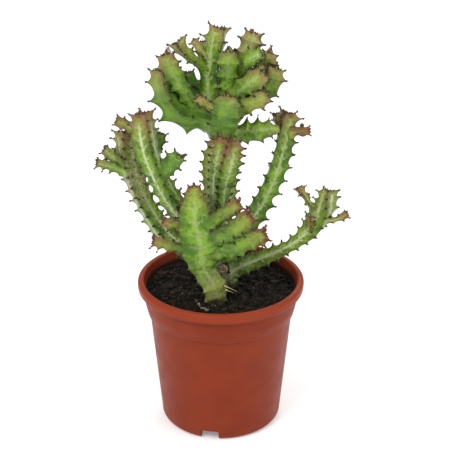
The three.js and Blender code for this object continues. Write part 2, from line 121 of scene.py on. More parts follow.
# %% The head of short shoots on top of the main stem
HEAD = dict(
    ribs=3, roll=60, pitch=10, notch=0.16, tone=-0.5, blush=0.2, stripe=0, ripe=0.55,
    habit=dict(pitch=12, notch=0.32, stripe=0.2, ripe=0.8),
    path=[(1, 1, 217.3), (2, -5, 230), (3.5, -9, 241), (4.5, -11, 250)],
    girth=[7.6, 11, 12, 11.6],
    shoots=[
        dict(path=[(-1, 1, 220), (-5, 4, 235), (-6, 6, 257), (-4, 6, 276), (-1, 6, 291.5)],
             girth=[7, 10.5, 11, 11, 10.8, 10.8], pitch=13, roll=25, stripe=0.8, tone=0.1),
        dict(path=[(-2, 0, 227), (-14, -2, 232.5), (-25, -4, 235), (-33.5, -6, 243),
                   (-38.5, -7, 254), (-41, -7, 267)],
             girth=[7.5, 11.2, 12.8, 12, 9.8, 8.2], roll=18, pitch=14.5, stripe=0.1),
        dict(path=[(-17, 3, 236), (-24, -4, 253), (-31, -9, 268), (-35.5, -12, 280)],
             girth=[4, 7.6, 9, 8.5], roll=50, stripe=0.25, tone=-0.1),
        dict(path=[(-4, 6, 262), (-14, 3, 270), (-22, 0, 277), (-28, -3, 285)],
             girth=[3.4, 4.8, 5.6, 8], roll=0, pitch=13, tone=0.5),
        dict(path=[(-7, 6, 272), (-13.5, 3.4, 280), (-17.5, 2, 286)], girth=[2, 2.8, 4.2],
             tone=1.4),
        dict(path=[(-22, 3, 240), (-28, 6, 250), (-31, 8, 262)], girth=[5, 7.5, 7.5], tone=-1),
        dict(path=[(-12, 6, 238), (-18, 9, 249), (-21.5, 11, 260)], girth=[5, 7, 6.6],
             tone=-1, ripe=0.2),
        dict(path=[(0, -6, 239), (-8.5, -13.5, 247), (-15.5, -17, 252.5)],
             girth=[3, 3.6, 4.6], tone=1, blush=0.4, pitch=9),
        dict(path=[(3, 2, 240), (4, 0, 258), (4.8, -3, 270), (5, -5, 279)],
             girth=[6, 8, 8.8, 9.4], tone=0, blush=0.2, ripe=0.5),
        dict(path=[(4, 4, 246), (8, 10, 262), (11, 13, 274)], girth=[4, 6, 6.5], roll=0),
        dict(path=[(6, 4, 246), (13, 8, 262), (18, 10, 276), (21.5, 11, 287)],
             girth=[5, 6.5, 9, 10], tone=1.8, pitch=10, notch=0.36),
        dict(path=[(10, 3, 260), (17, -1, 271), (22, -3, 275), (27, -4, 278)],
             girth=[4, 7, 7.5, 7], roll=20, tone=0.1, stripe=0.4, ripe=0.3),
        dict(path=[(12, 8, 246), (24, 10, 259), (29.5, 9, 267), (33, 7, 275)],
             girth=[5, 7, 7.5, 8.5], tone=0.9, pitch=9),
        dict(path=[(7, 1, 245), (13, -5, 255), (20, -9, 262.5), (27, -12, 268)],
             girth=[6, 9, 9.8, 9.6], stripe=0.4, roll=66, tone=0.2),
        dict(path=[(5, 2, 230), (17, 4, 241), (28, 4, 248), (34.2, 4, 256), (37, 2, 266)],
             girth=[7, 8, 8, 8.6, 9], tone=0.1),
        dict(path=[(5, 0, 234), (14, -2, 241.5), (23, -6, 247), (30, -8, 251.5)],
             girth=[6, 7.5, 8, 7.8], tone=0.7),
        dict(path=[(3, 1, 219.5), (14, 3, 219.5), (25, 4, 220), (34.5, 5, 221), (40, 5, 221.5)],
             girth=[7, 10.4, 11.4, 10.8, 8, 3.4], roll=14, pitch=11,
             tone=0.2, blush=0, stripe=0.4, ripe=0.45),
        dict(path=[(2, 4, 228), (2, 16, 240), (-2, 26, 254)], girth=[6, 8.5, 9]),
        dict(path=[(6, 5, 232), (16, 17, 240), (23, 27, 250)], girth=[5, 7.5, 8]),
        dict(path=[(-6, 6, 250), (-10, 17, 264), (-11, 22, 278)], girth=[5, 7.5, 8]),
    ],
)
print("the head has", len(HEAD["shoots"]), "shoots")

# %% The four arms of the back plant
LEFT_INNER = dict(
    ribs=4, roll=22, pitch=9, notch=0.18, tone=0, blush=0.5, stripe=1, old=0.5, ripe=1.3,
    path=[(0, 2, 127), (-12.5, 1, 139.5), (-23.5, -2, 156), (-40.5, -5, 185), (-50, -6, 210),
          (-53, -6, 236)],
    girth=[5, 7.4, 8.2, 8.4, 8.7, 9.2, 9.4, 9.6, 9.4],
    shoots=[
        dict(path=[(-54, -4, 222), (-63, -3, 228), (-70, -2, 231)], girth=[4, 5, 5.5], blush=0.6),
        dict(path=[(-50, -3, 201), (-45, 4, 209), (-42, 8, 217)], girth=[4, 5.5, 6.5],
             tone=-0.6, stripe=0.1, ripe=0.3),
        dict(path=[(-44, -6, 188), (-36, -6, 197), (-28.5, -7, 206)], girth=[4, 8, 8.8],
             roll=30, tone=-0.6, blush=0.1, stripe=0.1, ripe=0.3),
        dict(path=[(-40, -2, 176), (-44, 8, 184), (-48, 16, 194)], girth=[4, 6.5, 7]),
    ],
)
LEFT_OUTER = dict(
    ribs=4, roll=-12, pitch=8, notch=0.15,
    tone=-0.2, blush=0.3, stripe=1, old=0.6, worn_at=0.74, worn=2.3,
    path=[(1, 0, 120), (-15, 2, 125), (-35, 6, 137.5), (-51.5, 9, 161), (-62, 11, 187),
          (-65, 11, 204), (-66, 11, 216.5)],
    girth=[5, 7, 8.1, 8.5, 8.5, 8.9, 8.6, 9.6, 9.4],
    shoots=[
        dict(path=[(-64, 9, 188), (-74, 6, 201), (-80, 5, 207)], girth=[4, 5, 5.5], ripe=0.6),
        dict(path=[(-64, 9, 188), (-77, 4, 196), (-85, 2, 199)], girth=[4, 5, 5.5], ripe=0.6),
    ],
)
RIGHT_STEM = dict(
    ribs=3, roll=52, twist=44, pitch=9.6, notch=0.32, tone=0, blush=0.35, stripe=0.85, old=0.3,
    path=[(1, 3, 133), (11, 4, 143.5), (26.2, 8, 162.5), (37.8, 12, 188), (44, 15, 212),
          (46.5, 16, 228)],
    girth=[5, 9, 10.7, 10.6, 10, 9.4, 8.8, 8.8, 10.6],
    shoots=[
        dict(path=[(48, 15, 216), (55, 14, 218), (61, 13, 218.5)], girth=[4, 4.4, 5],
             blush=0.7, ripe=2),
        dict(path=[(44, 15, 210), (40.5, 14, 219), (38, 13, 230)], girth=[3, 4, 4.6], roll=0),
        dict(path=[(38, 13, 184), (44, 23, 194), (47, 31, 206)], girth=[4, 6.5, 7]),
    ],
)
RIGHT_LOW = dict(
    ribs=3, roll=48, twist=-54, pitch=8.2, notch=0.19,
    tone=0.5, foot_tone=-1.2, blush=0.6, stripe=1.5, ripe=0.6, old=0.4,
    path=[(3, 0, 113), (18, -4, 123), (34, -7, 131), (52, -10, 142), (65.6, -12, 155.5),
          (71.6, -12, 168), (74, -12, 182)],
    girth=[5, 7.6, 7.4, 7, 6.2, 7.2, 10.2, 10.6, 7.8],
    shoots=[
        dict(path=[(67, -12, 164), (61, -8, 173), (54.5, -5, 182)], girth=[2.4, 2.4, 5],
             roll=0, tone=0.5),
        dict(path=[(72, -12, 162), (80, -16, 164), (86.5, -18, 169)], girth=[3.4, 2.4, 4.4],
             tone=0.6),
        dict(path=[(63, -12, 155), (62, -18, 161), (61.6, -21, 167)], girth=[3.4, 3.6, 3.2],
             roll=0, tone=0.2, blush=0.5),
    ],
)
ARMS = LEFT_INNER, LEFT_OUTER, RIGHT_STEM, RIGHT_LOW
print("the arms end at", [arm["path"][-1] for arm in ARMS])

# %% What stems and shoots have in common, and the order of growth
# These hold wherever a stem or shoot doesn't say otherwise. tip_pitch is the first step
# between teeth at the growing tip, as a share of the girth there. worn_at=-1 lies off the
# stem, so nothing is worn.
SHOOT_HABIT = dict(ribs=3, roll=60, twist=0, pitch=9, notch=0.3, tip_pitch=0.6)
STEM_HABIT = dict(twist=0, tip_pitch=0.48, rise=14, old=1, worn_at=-1, worn=1, ripe=1)

# CAD node, piece and data of each stem. The main stem is first, as the others leave it.
PLAN = [
    ("stem_centre", "main_stem", MAIN_STEM),
    ("stem_front", "front_stem", FRONT_STEM),
    ("head_shoots", "head_of_shoots", HEAD),
    ("stem_left_inner", "left_inner_stem", LEFT_INNER),
    ("stem_left_outer", "left_outer_stem", LEFT_OUTER),
    ("stem_right", "right_stem", RIGHT_STEM),
    ("stem_right_low", "right_low_stem", RIGHT_LOW),
]
print("stems and shoots:", sum(1 + len(stem["shoots"]) for _, _, stem in PLAN))

# %% [markdown]
# ## From numbers to meshes
#
# Almost everything here is a grid of points wrapped round an axis: pot, soil, stems and
# spines. They could be Blender's own cylinders, bent by modifiers, but a plant's form is
# easier to say as numbers. So one helper turns rings of points into faces, one joins many
# small bodies into one, and one makes the Blender object.

# %% Mesh helpers
def ring_quads(rings, around):
    """Quads between neighbouring rings of points, closed round the axis."""
    low = np.arange(rings - 1)[:, None] * around + np.arange(around)[None, :]
    beside = np.arange(rings - 1)[:, None] * around + (np.arange(around) + 1) % around
    quads = np.stack([low, beside, beside + around, low + around], axis=-1)
    return quads.reshape(-1, 4).tolist()


def fan(ring_start, around, point, outward_end):
    """Triangles from a ring to one point, at the far end of the rings or at their start."""
    ends = []
    for i in range(around):
        a, b = ring_start + i, ring_start + (i + 1) % around
        ends.append((a, b, point) if outward_end else (b, a, point))
    return ends


def closed_skin(rings, around):
    """All faces of a body of rings. Its last two points close the first and the last ring."""
    count = rings * around
    return (ring_quads(rings, around) + fan(0, around, count, False)
            + fan(count - around, around, count + 1, True))


def hoop(across, third, sides):
    """The points of a circle in the plane of two directions that are each one long."""
    turn = np.arange(sides) * 2 * math.pi / sides
    return across * np.cos(turn)[:, None] + third * np.sin(turn)[:, None]


def join(parts):
    """One body from several: each is its points, its faces and its marks by name."""
    points, faces, first = [], [], 0
    for part_points, part_faces, _ in parts:
        points.append(part_points)
        faces.extend([tuple(i + first for i in face) for face in part_faces])
        first += len(part_points)
    marks = {name: np.concatenate([np.broadcast_to(part[2][name], len(part[0])) for part in parts])
             for name in parts[0][2]}
    return np.concatenate(points), faces, marks


def new_object(name, points_mm, faces, marks=None):
    """A smooth-shaded mesh object, with a float attribute for each named mark."""
    mesh = bpy.data.meshes.new(name)
    mesh.from_pydata((np.asarray(points_mm) * MM).tolist(), [], faces)
    mesh.update()
    mesh.polygons.foreach_set("use_smooth", np.ones(len(mesh.polygons), bool))
    for mark, values in (marks or {}).items():
        layer = mesh.attributes.new(mark, "FLOAT", "POINT")
        layer.data.foreach_set("value", np.asarray(values, np.float32))
    thing = bpy.data.objects.new(name, mesh)
    bpy.context.scene.collection.objects.link(thing)
    return thing


def smoothstep(start, end, value):
    """Goes softly from 0, where value is start, to 1, where it is end."""
    t = np.clip((value - start) / (end - start), 0, 1)
    return t * t * (3 - 2 * t)


print("a body of 2 rings of 3 points:", closed_skin(2, 3))

# %% [markdown]
# ## Shader helpers
#
# The finishes are node trees. Written out one node at a time they would hide what they
# mean, so a few one-line helpers add a node, wire it and return its output.

# %% Shader helpers
def srgb(*levels):
    """A linear colour from the three levels, 0 to 255, that a picture shows."""
    return tuple(((level / 255 + 0.055) / 1.055) ** 2.4 if level > 10 else level / 3294
                 for level in levels) + (1.0,)


def new_material(name):
    """A new material, its node tree and the shader that every finish here uses."""
    material = bpy.data.materials.new(name)
    material.use_nodes = True
    return material, material.node_tree, material.node_tree.nodes["Principled BSDF"]


def add(tree, kind, wires=None, **settings):
    """Adds a node. Wires go to its inputs by name or number, settings to its properties."""
    node = tree.nodes.new(kind)
    for key, value in settings.items():
        setattr(node, key, value)
    for key, value in (wires or {}).items():
        if isinstance(value, bpy.types.NodeSocket):
            tree.links.new(value, node.inputs[key])
        else:
            node.inputs[key].default_value = value
    return node


def mark(tree, name):
    """What the mesh itself says at each point under this name."""
    return add(tree, "ShaderNodeAttribute", attribute_name=name).outputs["Fac"]


def place(tree):
    """Where a point of the piece is, in metres."""
    return add(tree, "ShaderNodeTexCoord").outputs["Object"]


def grain(tree, size_mm, detail=3.0, roughness=0.5, stretch=None):
    """Noise whose blotches are about size_mm across, from 0 to 1."""
    where = place(tree)
    if stretch:
        where = add(tree, "ShaderNodeMapping", {"Vector": where, "Scale": stretch}).outputs[0]
    wires = {"Vector": where, "Scale": 1 / (size_mm * MM), "Detail": detail,
             "Roughness": roughness}
    return add(tree, "ShaderNodeTexNoise", wires).outputs["Fac"]


def ramp(tree, value, start, end, low=0.0, high=1.0):
    """Goes softly from low, where value is start, to high, where it is end."""
    wires = {"Value": value, "From Min": start, "From Max": end, "To Min": low, "To Max": high}
    return add(tree, "ShaderNodeMapRange", wires, interpolation_type="SMOOTHSTEP").outputs["Result"]


def maths(tree, operation, first, second):
    """One operation on two values."""
    return add(tree, "ShaderNodeMath", {0: first, 1: second}, operation=operation).outputs[0]


def times(tree, first, second):
    """The product of two values, which for shares means both at once."""
    return maths(tree, "MULTIPLY", first, second)


def paint(tree, under, over, share):
    """Lays the colour over on the colour under, by share from 0 to 1."""
    wires = {"Factor": share, "A": under, "B": over}
    node = add(tree, "ShaderNodeMix", None, data_type="RGBA")
    for name, value in wires.items():
        socket = next(s for s in node.inputs if s.name == name and s.enabled)
        if isinstance(value, bpy.types.NodeSocket):
            tree.links.new(value, socket)
        else:
            socket.default_value = value
    return next(s for s in node.outputs if s.enabled)


def relief(tree, principled, height, depth_mm, under=None):
    """Shades the surface as if height raised it, by depth_mm at most, over the relief under."""
    wires = {"Height": height, "Distance": depth_mm * MM, "Strength": 1.0}
    if under:
        wires["Normal"] = under
    bump = add(tree, "ShaderNodeBump", wires).outputs["Normal"]
    tree.links.new(bump, principled.inputs["Normal"])
    return bump


print("mid grey in linear light:", round(srgb(128)[0], 3))

# %% [markdown]
# ## The camera, the light and the floor
#
# The photograph looks down on the plant by 24.5 degrees from about 0.9 m, in a white light
# tent: its shadows are faint and the pot shows almost one flat colour. Strong lamps on a
# dark world would give hard shadows, so a white world does most of the work here, and a
# broad soft lamp above the camera's left shoulder gives the stems their form.

# %% Camera
AIM = Vector((3, 0, 152)) * MM
LOOK_DOWN = math.radians(24.5)
DISTANCE = 900 * MM
LENS, SENSOR = 101.7, 36.0

camera_data = bpy.data.cameras.new("camera")
camera_data.lens, camera_data.sensor_width = LENS, SENSOR
camera_data.clip_start, camera_data.clip_end = 0.01, 20
camera = bpy.data.objects.new("camera", camera_data)
camera.location = AIM + DISTANCE * Vector((0, -math.cos(LOOK_DOWN), math.sin(LOOK_DOWN)))
camera.rotation_euler = (math.pi / 2 - LOOK_DOWN, 0, 0)
bpy.context.scene.collection.objects.link(camera)
bpy.context.scene.camera = camera
print("camera at", tuple(round(v, 4) for v in camera.location))


# %% Light and floor
def soft_lamp(name, place_mm, size, watts):
    """A round lamp, size metres across, that shines on the plant's middle."""
    data = bpy.data.lights.new(name, "AREA")
    data.shape, data.size, data.energy = "DISK", size, watts
    lamp = bpy.data.objects.new(name, data)
    lamp.location = Vector(place_mm) * MM
    lamp.rotation_euler = (AIM - lamp.location).to_track_quat("-Z", "Y").to_euler()
    bpy.context.scene.collection.objects.link(lamp)


world = bpy.data.worlds.new("light_tent")
world.use_nodes = True
tent = world.node_tree.nodes["Background"]
tent.inputs["Color"].default_value = (1, 1, 1, 1)
tent.inputs["Strength"].default_value = 0.62
bpy.context.scene.world = world
soft_lamp("key", (-700, -900, 1300), 0.7, 14)
soft_lamp("fill", (900, -500, 900), 0.9, 5)
soft_lamp("back", (200, 1000, 1100), 0.8, 6)
bpy.context.scene.view_settings.view_transform = "Standard"
bpy.context.scene.view_settings.look = "None"

FLOOR = 3.0  # metres across
corners = np.array([(-1, -1, 0), (1, -1, 0), (1, 1, 0), (-1, 1, 0)])
floor = new_object("floor", corners * FLOOR / 2 / MM, [(0, 1, 2, 3)])
floor_paint, tree, principled = new_material("white_paper")
principled.inputs["Base Color"].default_value = (0.9, 0.9, 0.9, 1)
principled.inputs["Emission Color"].default_value = (1, 1, 1, 1)
principled.inputs["Emission Strength"].default_value = 0.22
principled.inputs["Roughness"].default_value = 0.8
floor.data.materials.append(floor_paint)
print("floor:", FLOOR, "m across, under 3 lamps and a white world")

# %% [markdown]
# ## Terracotta-coloured plastic
#
# The pot is injection-moulded polypropylene. Its colour is nearly even, with a faint cloud
# in it, a very fine satin grain from the mould, light scuffs towards the foot, and a stain
# of soil on the wall inside the rim. Over that lie painted shade, with a film of dirt, down
# the inside wall, painted shade in the gap under the lip, and a painted highlight on the
# lip's top. A picture could be wrapped round it, but it would show a seam. Noise at several
# sizes has none, and the height above the table places the rest.

# %% Pot material
# Where each layer of paint begins and where it is full, in metres above the table.
# The mouth layer is painted shade, with a film of dirt, inside the pot; the lip layer is a painted
# highlight; the two gap layers are painted shade under the lip.
LAYERS = dict(scuffs=(0.03, 0.0), mouth=(0.1115, 0.1075), soil_stain=(0.1085, 0.1035),
              lip=(0.1045, 0.1065), gap_shade_from_below=(0.1018, 0.1032),
              gap_shade_from_above=(0.1046, 0.1036))


def pot_plastic():
    """Clay red, scuffed low, soil-stained within; painted shade inside and under the lip, a painted
    highlight on the lip's top.
    """
    material, tree, skin = new_material("pot_plastic")
    within = mark(tree, "inside")
    height = add(tree, "ShaderNodeSeparateXYZ", {0: place(tree)}).outputs["Z"]

    def reached(layer, low=0.0, high=1.0):
        return ramp(tree, height, *LAYERS[layer], low, high)

    cloud = ramp(tree, grain(tree, 22, 4), 0.35, 0.7)
    scuffs = ramp(tree, grain(tree, 5, 8, 0.75, (1, 1, 0.12)), 0.62, 0.75)
    blots = ramp(tree, grain(tree, 3, 6, 0.7), 0.36, 0.62, 0.55, 0.95)
    gap = times(tree, reached("gap_shade_from_below"), reached("gap_shade_from_above"))
    clay = paint(tree, srgb(131, 53, 31), srgb(125, 49, 29), cloud)
    for levels, share in (
        ((180, 112, 84), times(tree, scuffs, reached("scuffs", 0.04, 0.3))),
        # painted shade, with a film of dirt, down the inside wall
        ((72, 32, 24), times(tree, times(tree, within, reached("mouth", 0.3)), 0.8)),
        ((62, 50, 38), times(tree, times(tree, within, reached("soil_stain")), blots)),
        # painted highlight along the top of the lip
        ((142, 58, 34), reached("lip", 0, 0.8)),
        # painted shade in the gap under the lip
        ((58, 22, 14), times(tree, gap, 0.8)),
    ):
        clay = paint(tree, clay, srgb(*levels), share)
    tree.links.new(clay, skin.inputs["Base Color"])
    tree.links.new(ramp(tree, grain(tree, 9, 5), 0.3, 0.7, 0.34, 0.46), skin.inputs["Roughness"])
    skin.inputs["Specular IOR Level"].default_value = 0.07
    satin = relief(tree, skin, grain(tree, 0.45, 2), 0.015)
    relief(tree, skin, grain(tree, 14, 2), 0.2, satin)
    return material


plastic = pot_plastic()
print("pot plastic:", len(plastic.node_tree.nodes), "nodes")

# %% [markdown]
# ## The pot
#
# A pot is turned on the lathe: an outline of radius and height, spun round. The outline's
# corners are rounded by arcs, because even a thin plastic edge catches a line of light. A
# bevel would do that too, but it is hard to keep even where the lip curls. The foot notches
# and drain holes are then cut out with a boolean.

# %% The outline of the pot
def rounded(corners):
    """An outline through corners (radius, height, rounding), each rounding drawn as an arc."""
    outline = []
    points = [np.array(corner[:2], float) for corner in corners]
    for i, (corner, here) in enumerate(zip(corners, points)):
        if corner[2] == 0:
            outline.append(tuple(here))
            continue
        before, after = points[i - 1] - here, points[i + 1] - here
        before, after = before / np.linalg.norm(before), after / np.linalg.norm(after)
        half = math.acos(np.clip(before @ after, -1, 1)) / 2
        reach = corner[2] / math.tan(half)
        start, end = here + before * reach, here + after * reach
        inward = (before + after) / np.linalg.norm(before + after)
        middle = here + inward * corner[2] / math.sin(half)
        steps = 3 + int(corner[2] * 2)
        for k in range(steps + 1):
            spoke = (start - middle) * (1 - k / steps) + (end - middle) * k / steps
            outline.append(tuple(middle + spoke / np.linalg.norm(spoke) * corner[2]))
    return outline


def inner_radius(height):
    """The radius inside the tapering body of the pot."""
    p = POT
    taper = (p["body_top"] - p["foot_radius"]) * height / p["step_height"]
    return p["foot_radius"] + taper - p["wall"]


def pot_outline():
    """From the middle of the pad under the floor, up outside, over the lip and down inside."""
    p = POT
    lip_bottom = p["height"] - p["lip_height"]
    floor_top = p["floor_under"] + p["floor_thick"]
    foot_edge = p["foot_radius"] - p["foot_fillet"] - p["foot_ring"]
    return rounded([
        (0, 0, 0), (p["pad_radius"], 0, 0.5), (p["pad_radius"] + p["slope"], p["floor_under"], 1),
        (foot_edge - 1, p["floor_under"], 1), (foot_edge, 0, 0.4),
        (p["foot_radius"], 0, p["foot_fillet"] * 0.9),
        (p["body_top"], p["step_height"], 0.8),
        (p["collar_bottom"], p["step_height"] + p["step"], 0.6),
        (p["collar_low"], p["collar_bend"], 12),
        (p["collar_top"], lip_bottom, 0.9), (p["rim"] - 0.3, lip_bottom, p["lip_curl"]),
        (p["rim"], p["height"], p["lip_round"]), (p["mouth"], p["height"], 1.6),
        (p["collar_top"] - p["wall"], lip_bottom, 4),
        (inner_radius(p["step_height"]), p["step_height"], 2),
        (inner_radius(floor_top), floor_top, 2.5), (p["pad_radius"] + p["slope"] - 1, floor_top, 1),
        (p["pad_radius"] - 1, p["floor_thick"], 0.5), (0, p["floor_thick"], 0),
    ])


outline = pot_outline()
print("pot outline:", len(outline), "points")


# %% Spinning the outline and cutting the holes
AROUND_POT = 224


def spin(name, outline, around):
    """Spins an outline that starts and ends on the axis into a closed mesh."""
    turn = np.arange(around) * 2 * math.pi / around
    rings = [np.stack([r * np.cos(turn), r * np.sin(turn), np.full(around, z)], -1)
             for r, z in outline[1:-1]]
    points = np.concatenate(rings + [[(0, 0, outline[0][1])], [(0, 0, outline[-1][1])]])
    return new_object(name, points, closed_skin(len(rings), around))


def at_bearing(degrees, radius):
    """x and y of a place round the pot: 0 degrees is its front, and 90 its right."""
    angle = math.radians(degrees)
    return radius * math.sin(angle), -radius * math.cos(angle)


def cut(thing, cutter):
    """Cuts the cutter out of the thing and throws the cutter away."""
    boolean = thing.modifiers.new("cut", "BOOLEAN")
    boolean.operation, boolean.object, boolean.solver = "DIFFERENCE", cutter, "EXACT"
    bpy.context.view_layer.update()
    evaluated = thing.evaluated_get(bpy.context.evaluated_depsgraph_get())
    done = bpy.data.meshes.new_from_object(evaluated)
    thing.modifiers.clear()
    thing.data = done
    bpy.data.objects.remove(cutter)


def block(name, size, at, turn_degrees, corner):
    """A block, rounded along the edges that point at the pot's axis, for cutting a notch."""
    mesh = bpy.data.meshes.new(name)
    form = bmesh.new()
    bmesh.ops.create_cube(form, size=1)
    bmesh.ops.scale(form, vec=Vector(size) * MM, verts=form.verts)
    lying = [e for e in form.edges if abs((e.verts[0].co - e.verts[1].co).normalized().y) > 0.9]
    bmesh.ops.bevel(form, geom=lying, offset=corner * MM, segments=4, affect="EDGES", profile=0.5)
    form.to_mesh(mesh)
    form.free()
    thing = bpy.data.objects.new(name, mesh)
    thing.location = Vector(at) * MM
    thing.rotation_euler.z = math.radians(turn_degrees)
    bpy.context.scene.collection.objects.link(thing)
    return thing


pot = spin("nursery_pot", outline, AROUND_POT)
low, high = POT["floor_under"] - 3, POT["floor_under"] + 5  # the plug goes through the floor
for bearing in NOTCH["bearings"]:
    x, y = at_bearing(bearing, POT["foot_radius"])
    size = NOTCH["width"], NOTCH["depth"], 2 * NOTCH["height"]
    cut(pot, block("notch", size, (x, y, 0), bearing, NOTCH["corner"]))
    x, y = at_bearing(bearing, DRAIN["ring_radius"])
    plug = spin("drain", [(0, low), (DRAIN["radius"], low), (DRAIN["radius"], high), (0, high)], 40)
    plug.location = Vector((x, y, 0)) * MM
    cut(pot, plug)

# The paint needs to know which points lie within. The wall is widest at the mouth.
MOUTH_STARTS = 102  # mm
inside = np.zeros(len(pot.data.vertices), np.float32)
for vertex in pot.data.vertices:
    radius, height = math.hypot(vertex.co.x, vertex.co.y) / MM, vertex.co.z / MM
    mouth = POT["mouth"] - 0.6 if height > MOUTH_STARTS else 0
    wall = max(inner_radius(height) + POT["wall"] / 2, mouth)
    inside[vertex.index] = height > POT["floor_under"] + 1 and radius < wall
pot.data.attributes.new("inside", "FLOAT", "POINT").data.foreach_set("value", inside)
pot.data.polygons.foreach_set("use_smooth", np.ones(len(pot.data.polygons), bool))
pot.data.materials.clear()
pot.data.materials.append(plastic)
pot.data.set_sharp_from_angle(angle=math.radians(35))
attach(pot, "root")
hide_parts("pot")
print("pot:", len(pot.data.polygons), "faces")

# %% [markdown]
# ## Potting soil
#
# The soil is peat and bark, almost black. A smooth brown disc would read as chocolate, so
# the surface is built in three scales: a lumpy bed, over two thousand crumbs, chips and
# fibres lying on it as real pieces, and a fine grain in the material.

# %% Soil material
def soil_material():
    """Peat in two darks. The paleness of a loose piece makes it bark, or a pale grain."""
    material, tree, skin = new_material("soil")
    kind = mark(tree, "paleness")
    peat = ramp(tree, grain(tree, 1.4, 6, 0.7), 0.38, 0.66)
    earth = paint(tree, srgb(18, 16, 11), srgb(42, 37, 27), peat)
    earth = paint(tree, earth, srgb(10, 10, 8), ramp(tree, grain(tree, 7, 3), 0.42, 0.6, 0, 0.85))
    streaks = ramp(tree, grain(tree, 0.8, 5, 0.6), 0.4, 0.6)
    bark = paint(tree, srgb(68, 52, 38), srgb(34, 28, 20), streaks)
    earth = paint(tree, earth, bark, ramp(tree, kind, 0.15, 0.5))
    earth = paint(tree, earth, srgb(142, 128, 108), ramp(tree, kind, 0.6, 0.9))
    tree.links.new(earth, skin.inputs["Base Color"])
    tree.links.new(ramp(tree, grain(tree, 2, 4), 0.3, 0.7, 0.7, 0.95), skin.inputs["Roughness"])
    relief(tree, skin, grain(tree, 0.7, 8, 0.75), 0.35)
    skin.inputs["Specular IOR Level"].default_value = 0.15
    return material


earth = soil_material()
print("soil:", len(earth.node_tree.nodes), "nodes")

# %% The soil bed
AROUND_SOIL = 168
SOIL_RINGS = 64
LUMPS = ((14, 1.5), (5, 1.1), (1.9, 0.7))  # size and height of the lumps, in mm
BANK = dict(height=1.3, at=(-6, -36), width=9)  # soil pushed up before the front foot
PLAY = 0.3  # mm between the soil and the pot


def lumpiness(x, y):
    """How far the lumps raise or lower the soil at a point, in mm."""
    return sum(height * noise.noise(Vector((x / size, y / size, 3.1 * size)))
               for size, height in LUMPS)


def soil_height(x, y):
    """The height of the soil at a point, in mm above the table."""
    radius, (bank_x, bank_y) = math.hypot(x, y), BANK["at"]
    banked = BANK["height"] * math.exp(-(math.hypot(x - bank_x, y - bank_y) / BANK["width"]) ** 2)
    return SOIL["top"] - SOIL["dish"] * (radius / SOIL["edge"]) ** 2 + lumpiness(x, y) + banked


def soil_bed():
    """Fills the pot: up its inner wall from the floor, and over the lumpy top to its middle."""
    p = POT
    floor_top = p["floor_under"] + p["floor_thick"] + PLAY
    outline = [(p["pad_radius"] - 1 - PLAY, p["floor_thick"] + PLAY),
               (p["pad_radius"] + p["slope"] - 1 - PLAY, floor_top),
               (inner_radius(floor_top) - PLAY, floor_top),
               (inner_radius(p["step_height"]) - PLAY, p["step_height"]),
               (SOIL["shoulder_radius"], SOIL["shoulder_height"])]
    turn = np.arange(AROUND_SOIL) * 2 * math.pi / AROUND_SOIL
    points = [(r * math.cos(t), r * math.sin(t), z) for r, z in outline for t in turn]
    for ring in range(SOIL_RINGS):
        radius = SOIL["edge"] * (1 - ring / SOIL_RINGS)
        for t in turn:
            x, y = radius * math.cos(t), radius * math.sin(t)
            points.append((x, y, soil_height(x, y)))
    points += [(0, 0, p["floor_thick"] + PLAY), (0, 0, soil_height(0, 0))]
    return new_object("soil_bed", points, closed_skin(len(outline) + SOIL_RINGS, AROUND_SOIL))


bed = soil_bed()
bed.data.materials.append(earth)
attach(bed, "root")
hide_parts("potting_soil")
print("soil bed:", len(bed.data.polygons), "faces")

# %% Crumbs, bark chips and pale grains
random = np.random.default_rng(11)  # the same heap of soil in every run
LUMP_ROUGHNESS = 0.22


def ball_template(detail):
    """The points and faces of a ball, which every lump is made from."""
    form = bmesh.new()
    bmesh.ops.create_icosphere(form, subdivisions=detail, radius=1)
    points = np.array([v.co for v in form.verts])
    faces = [[v.index for v in f.verts] for f in form.faces]
    form.free()
    return points, faces


def random_turn():
    """A turn any way round. Its third draw isn't used, but keeps the order of the draws."""
    a, b, c = random.normal(size=(3, 3))
    a /= np.linalg.norm(a)
    b = b - a * (a @ b)
    b /= np.linalg.norm(b)
    return np.stack([a, b, np.cross(a, b)])


def lying_turn(tilt):
    """A turn about the upright axis with a small random tilt."""
    angle = random.uniform(0, 2 * math.pi)
    flat = np.array([[math.cos(angle), math.sin(angle), 0],
                     [-math.sin(angle), math.cos(angle), 0], [0, 0, 1]])
    lean = np.eye(3) + tilt * random.normal(size=(3, 3))
    return flat @ np.linalg.qr(lean)[0]


def on_soil(reach):
    """A random place on the soil, no further than reach from its middle."""
    radius, angle = reach * math.sqrt(random.uniform(0, 1)), random.uniform(0, 2 * math.pi)
    return radius * math.cos(angle), radius * math.sin(angle)


def drop(template, size, turn, at, raised, paleness):
    """Lays one lump with a rough surface on the heap, raised mm above the soil's own height."""
    points, faces = template
    rough = 1 + LUMP_ROUGHNESS * random.normal(size=(len(points), 1))
    lump = points * rough * np.asarray(size) @ turn
    x, y = at
    heap.append((lump + (x, y, soil_height(x, y) + raised), faces, {"paleness": paleness}))


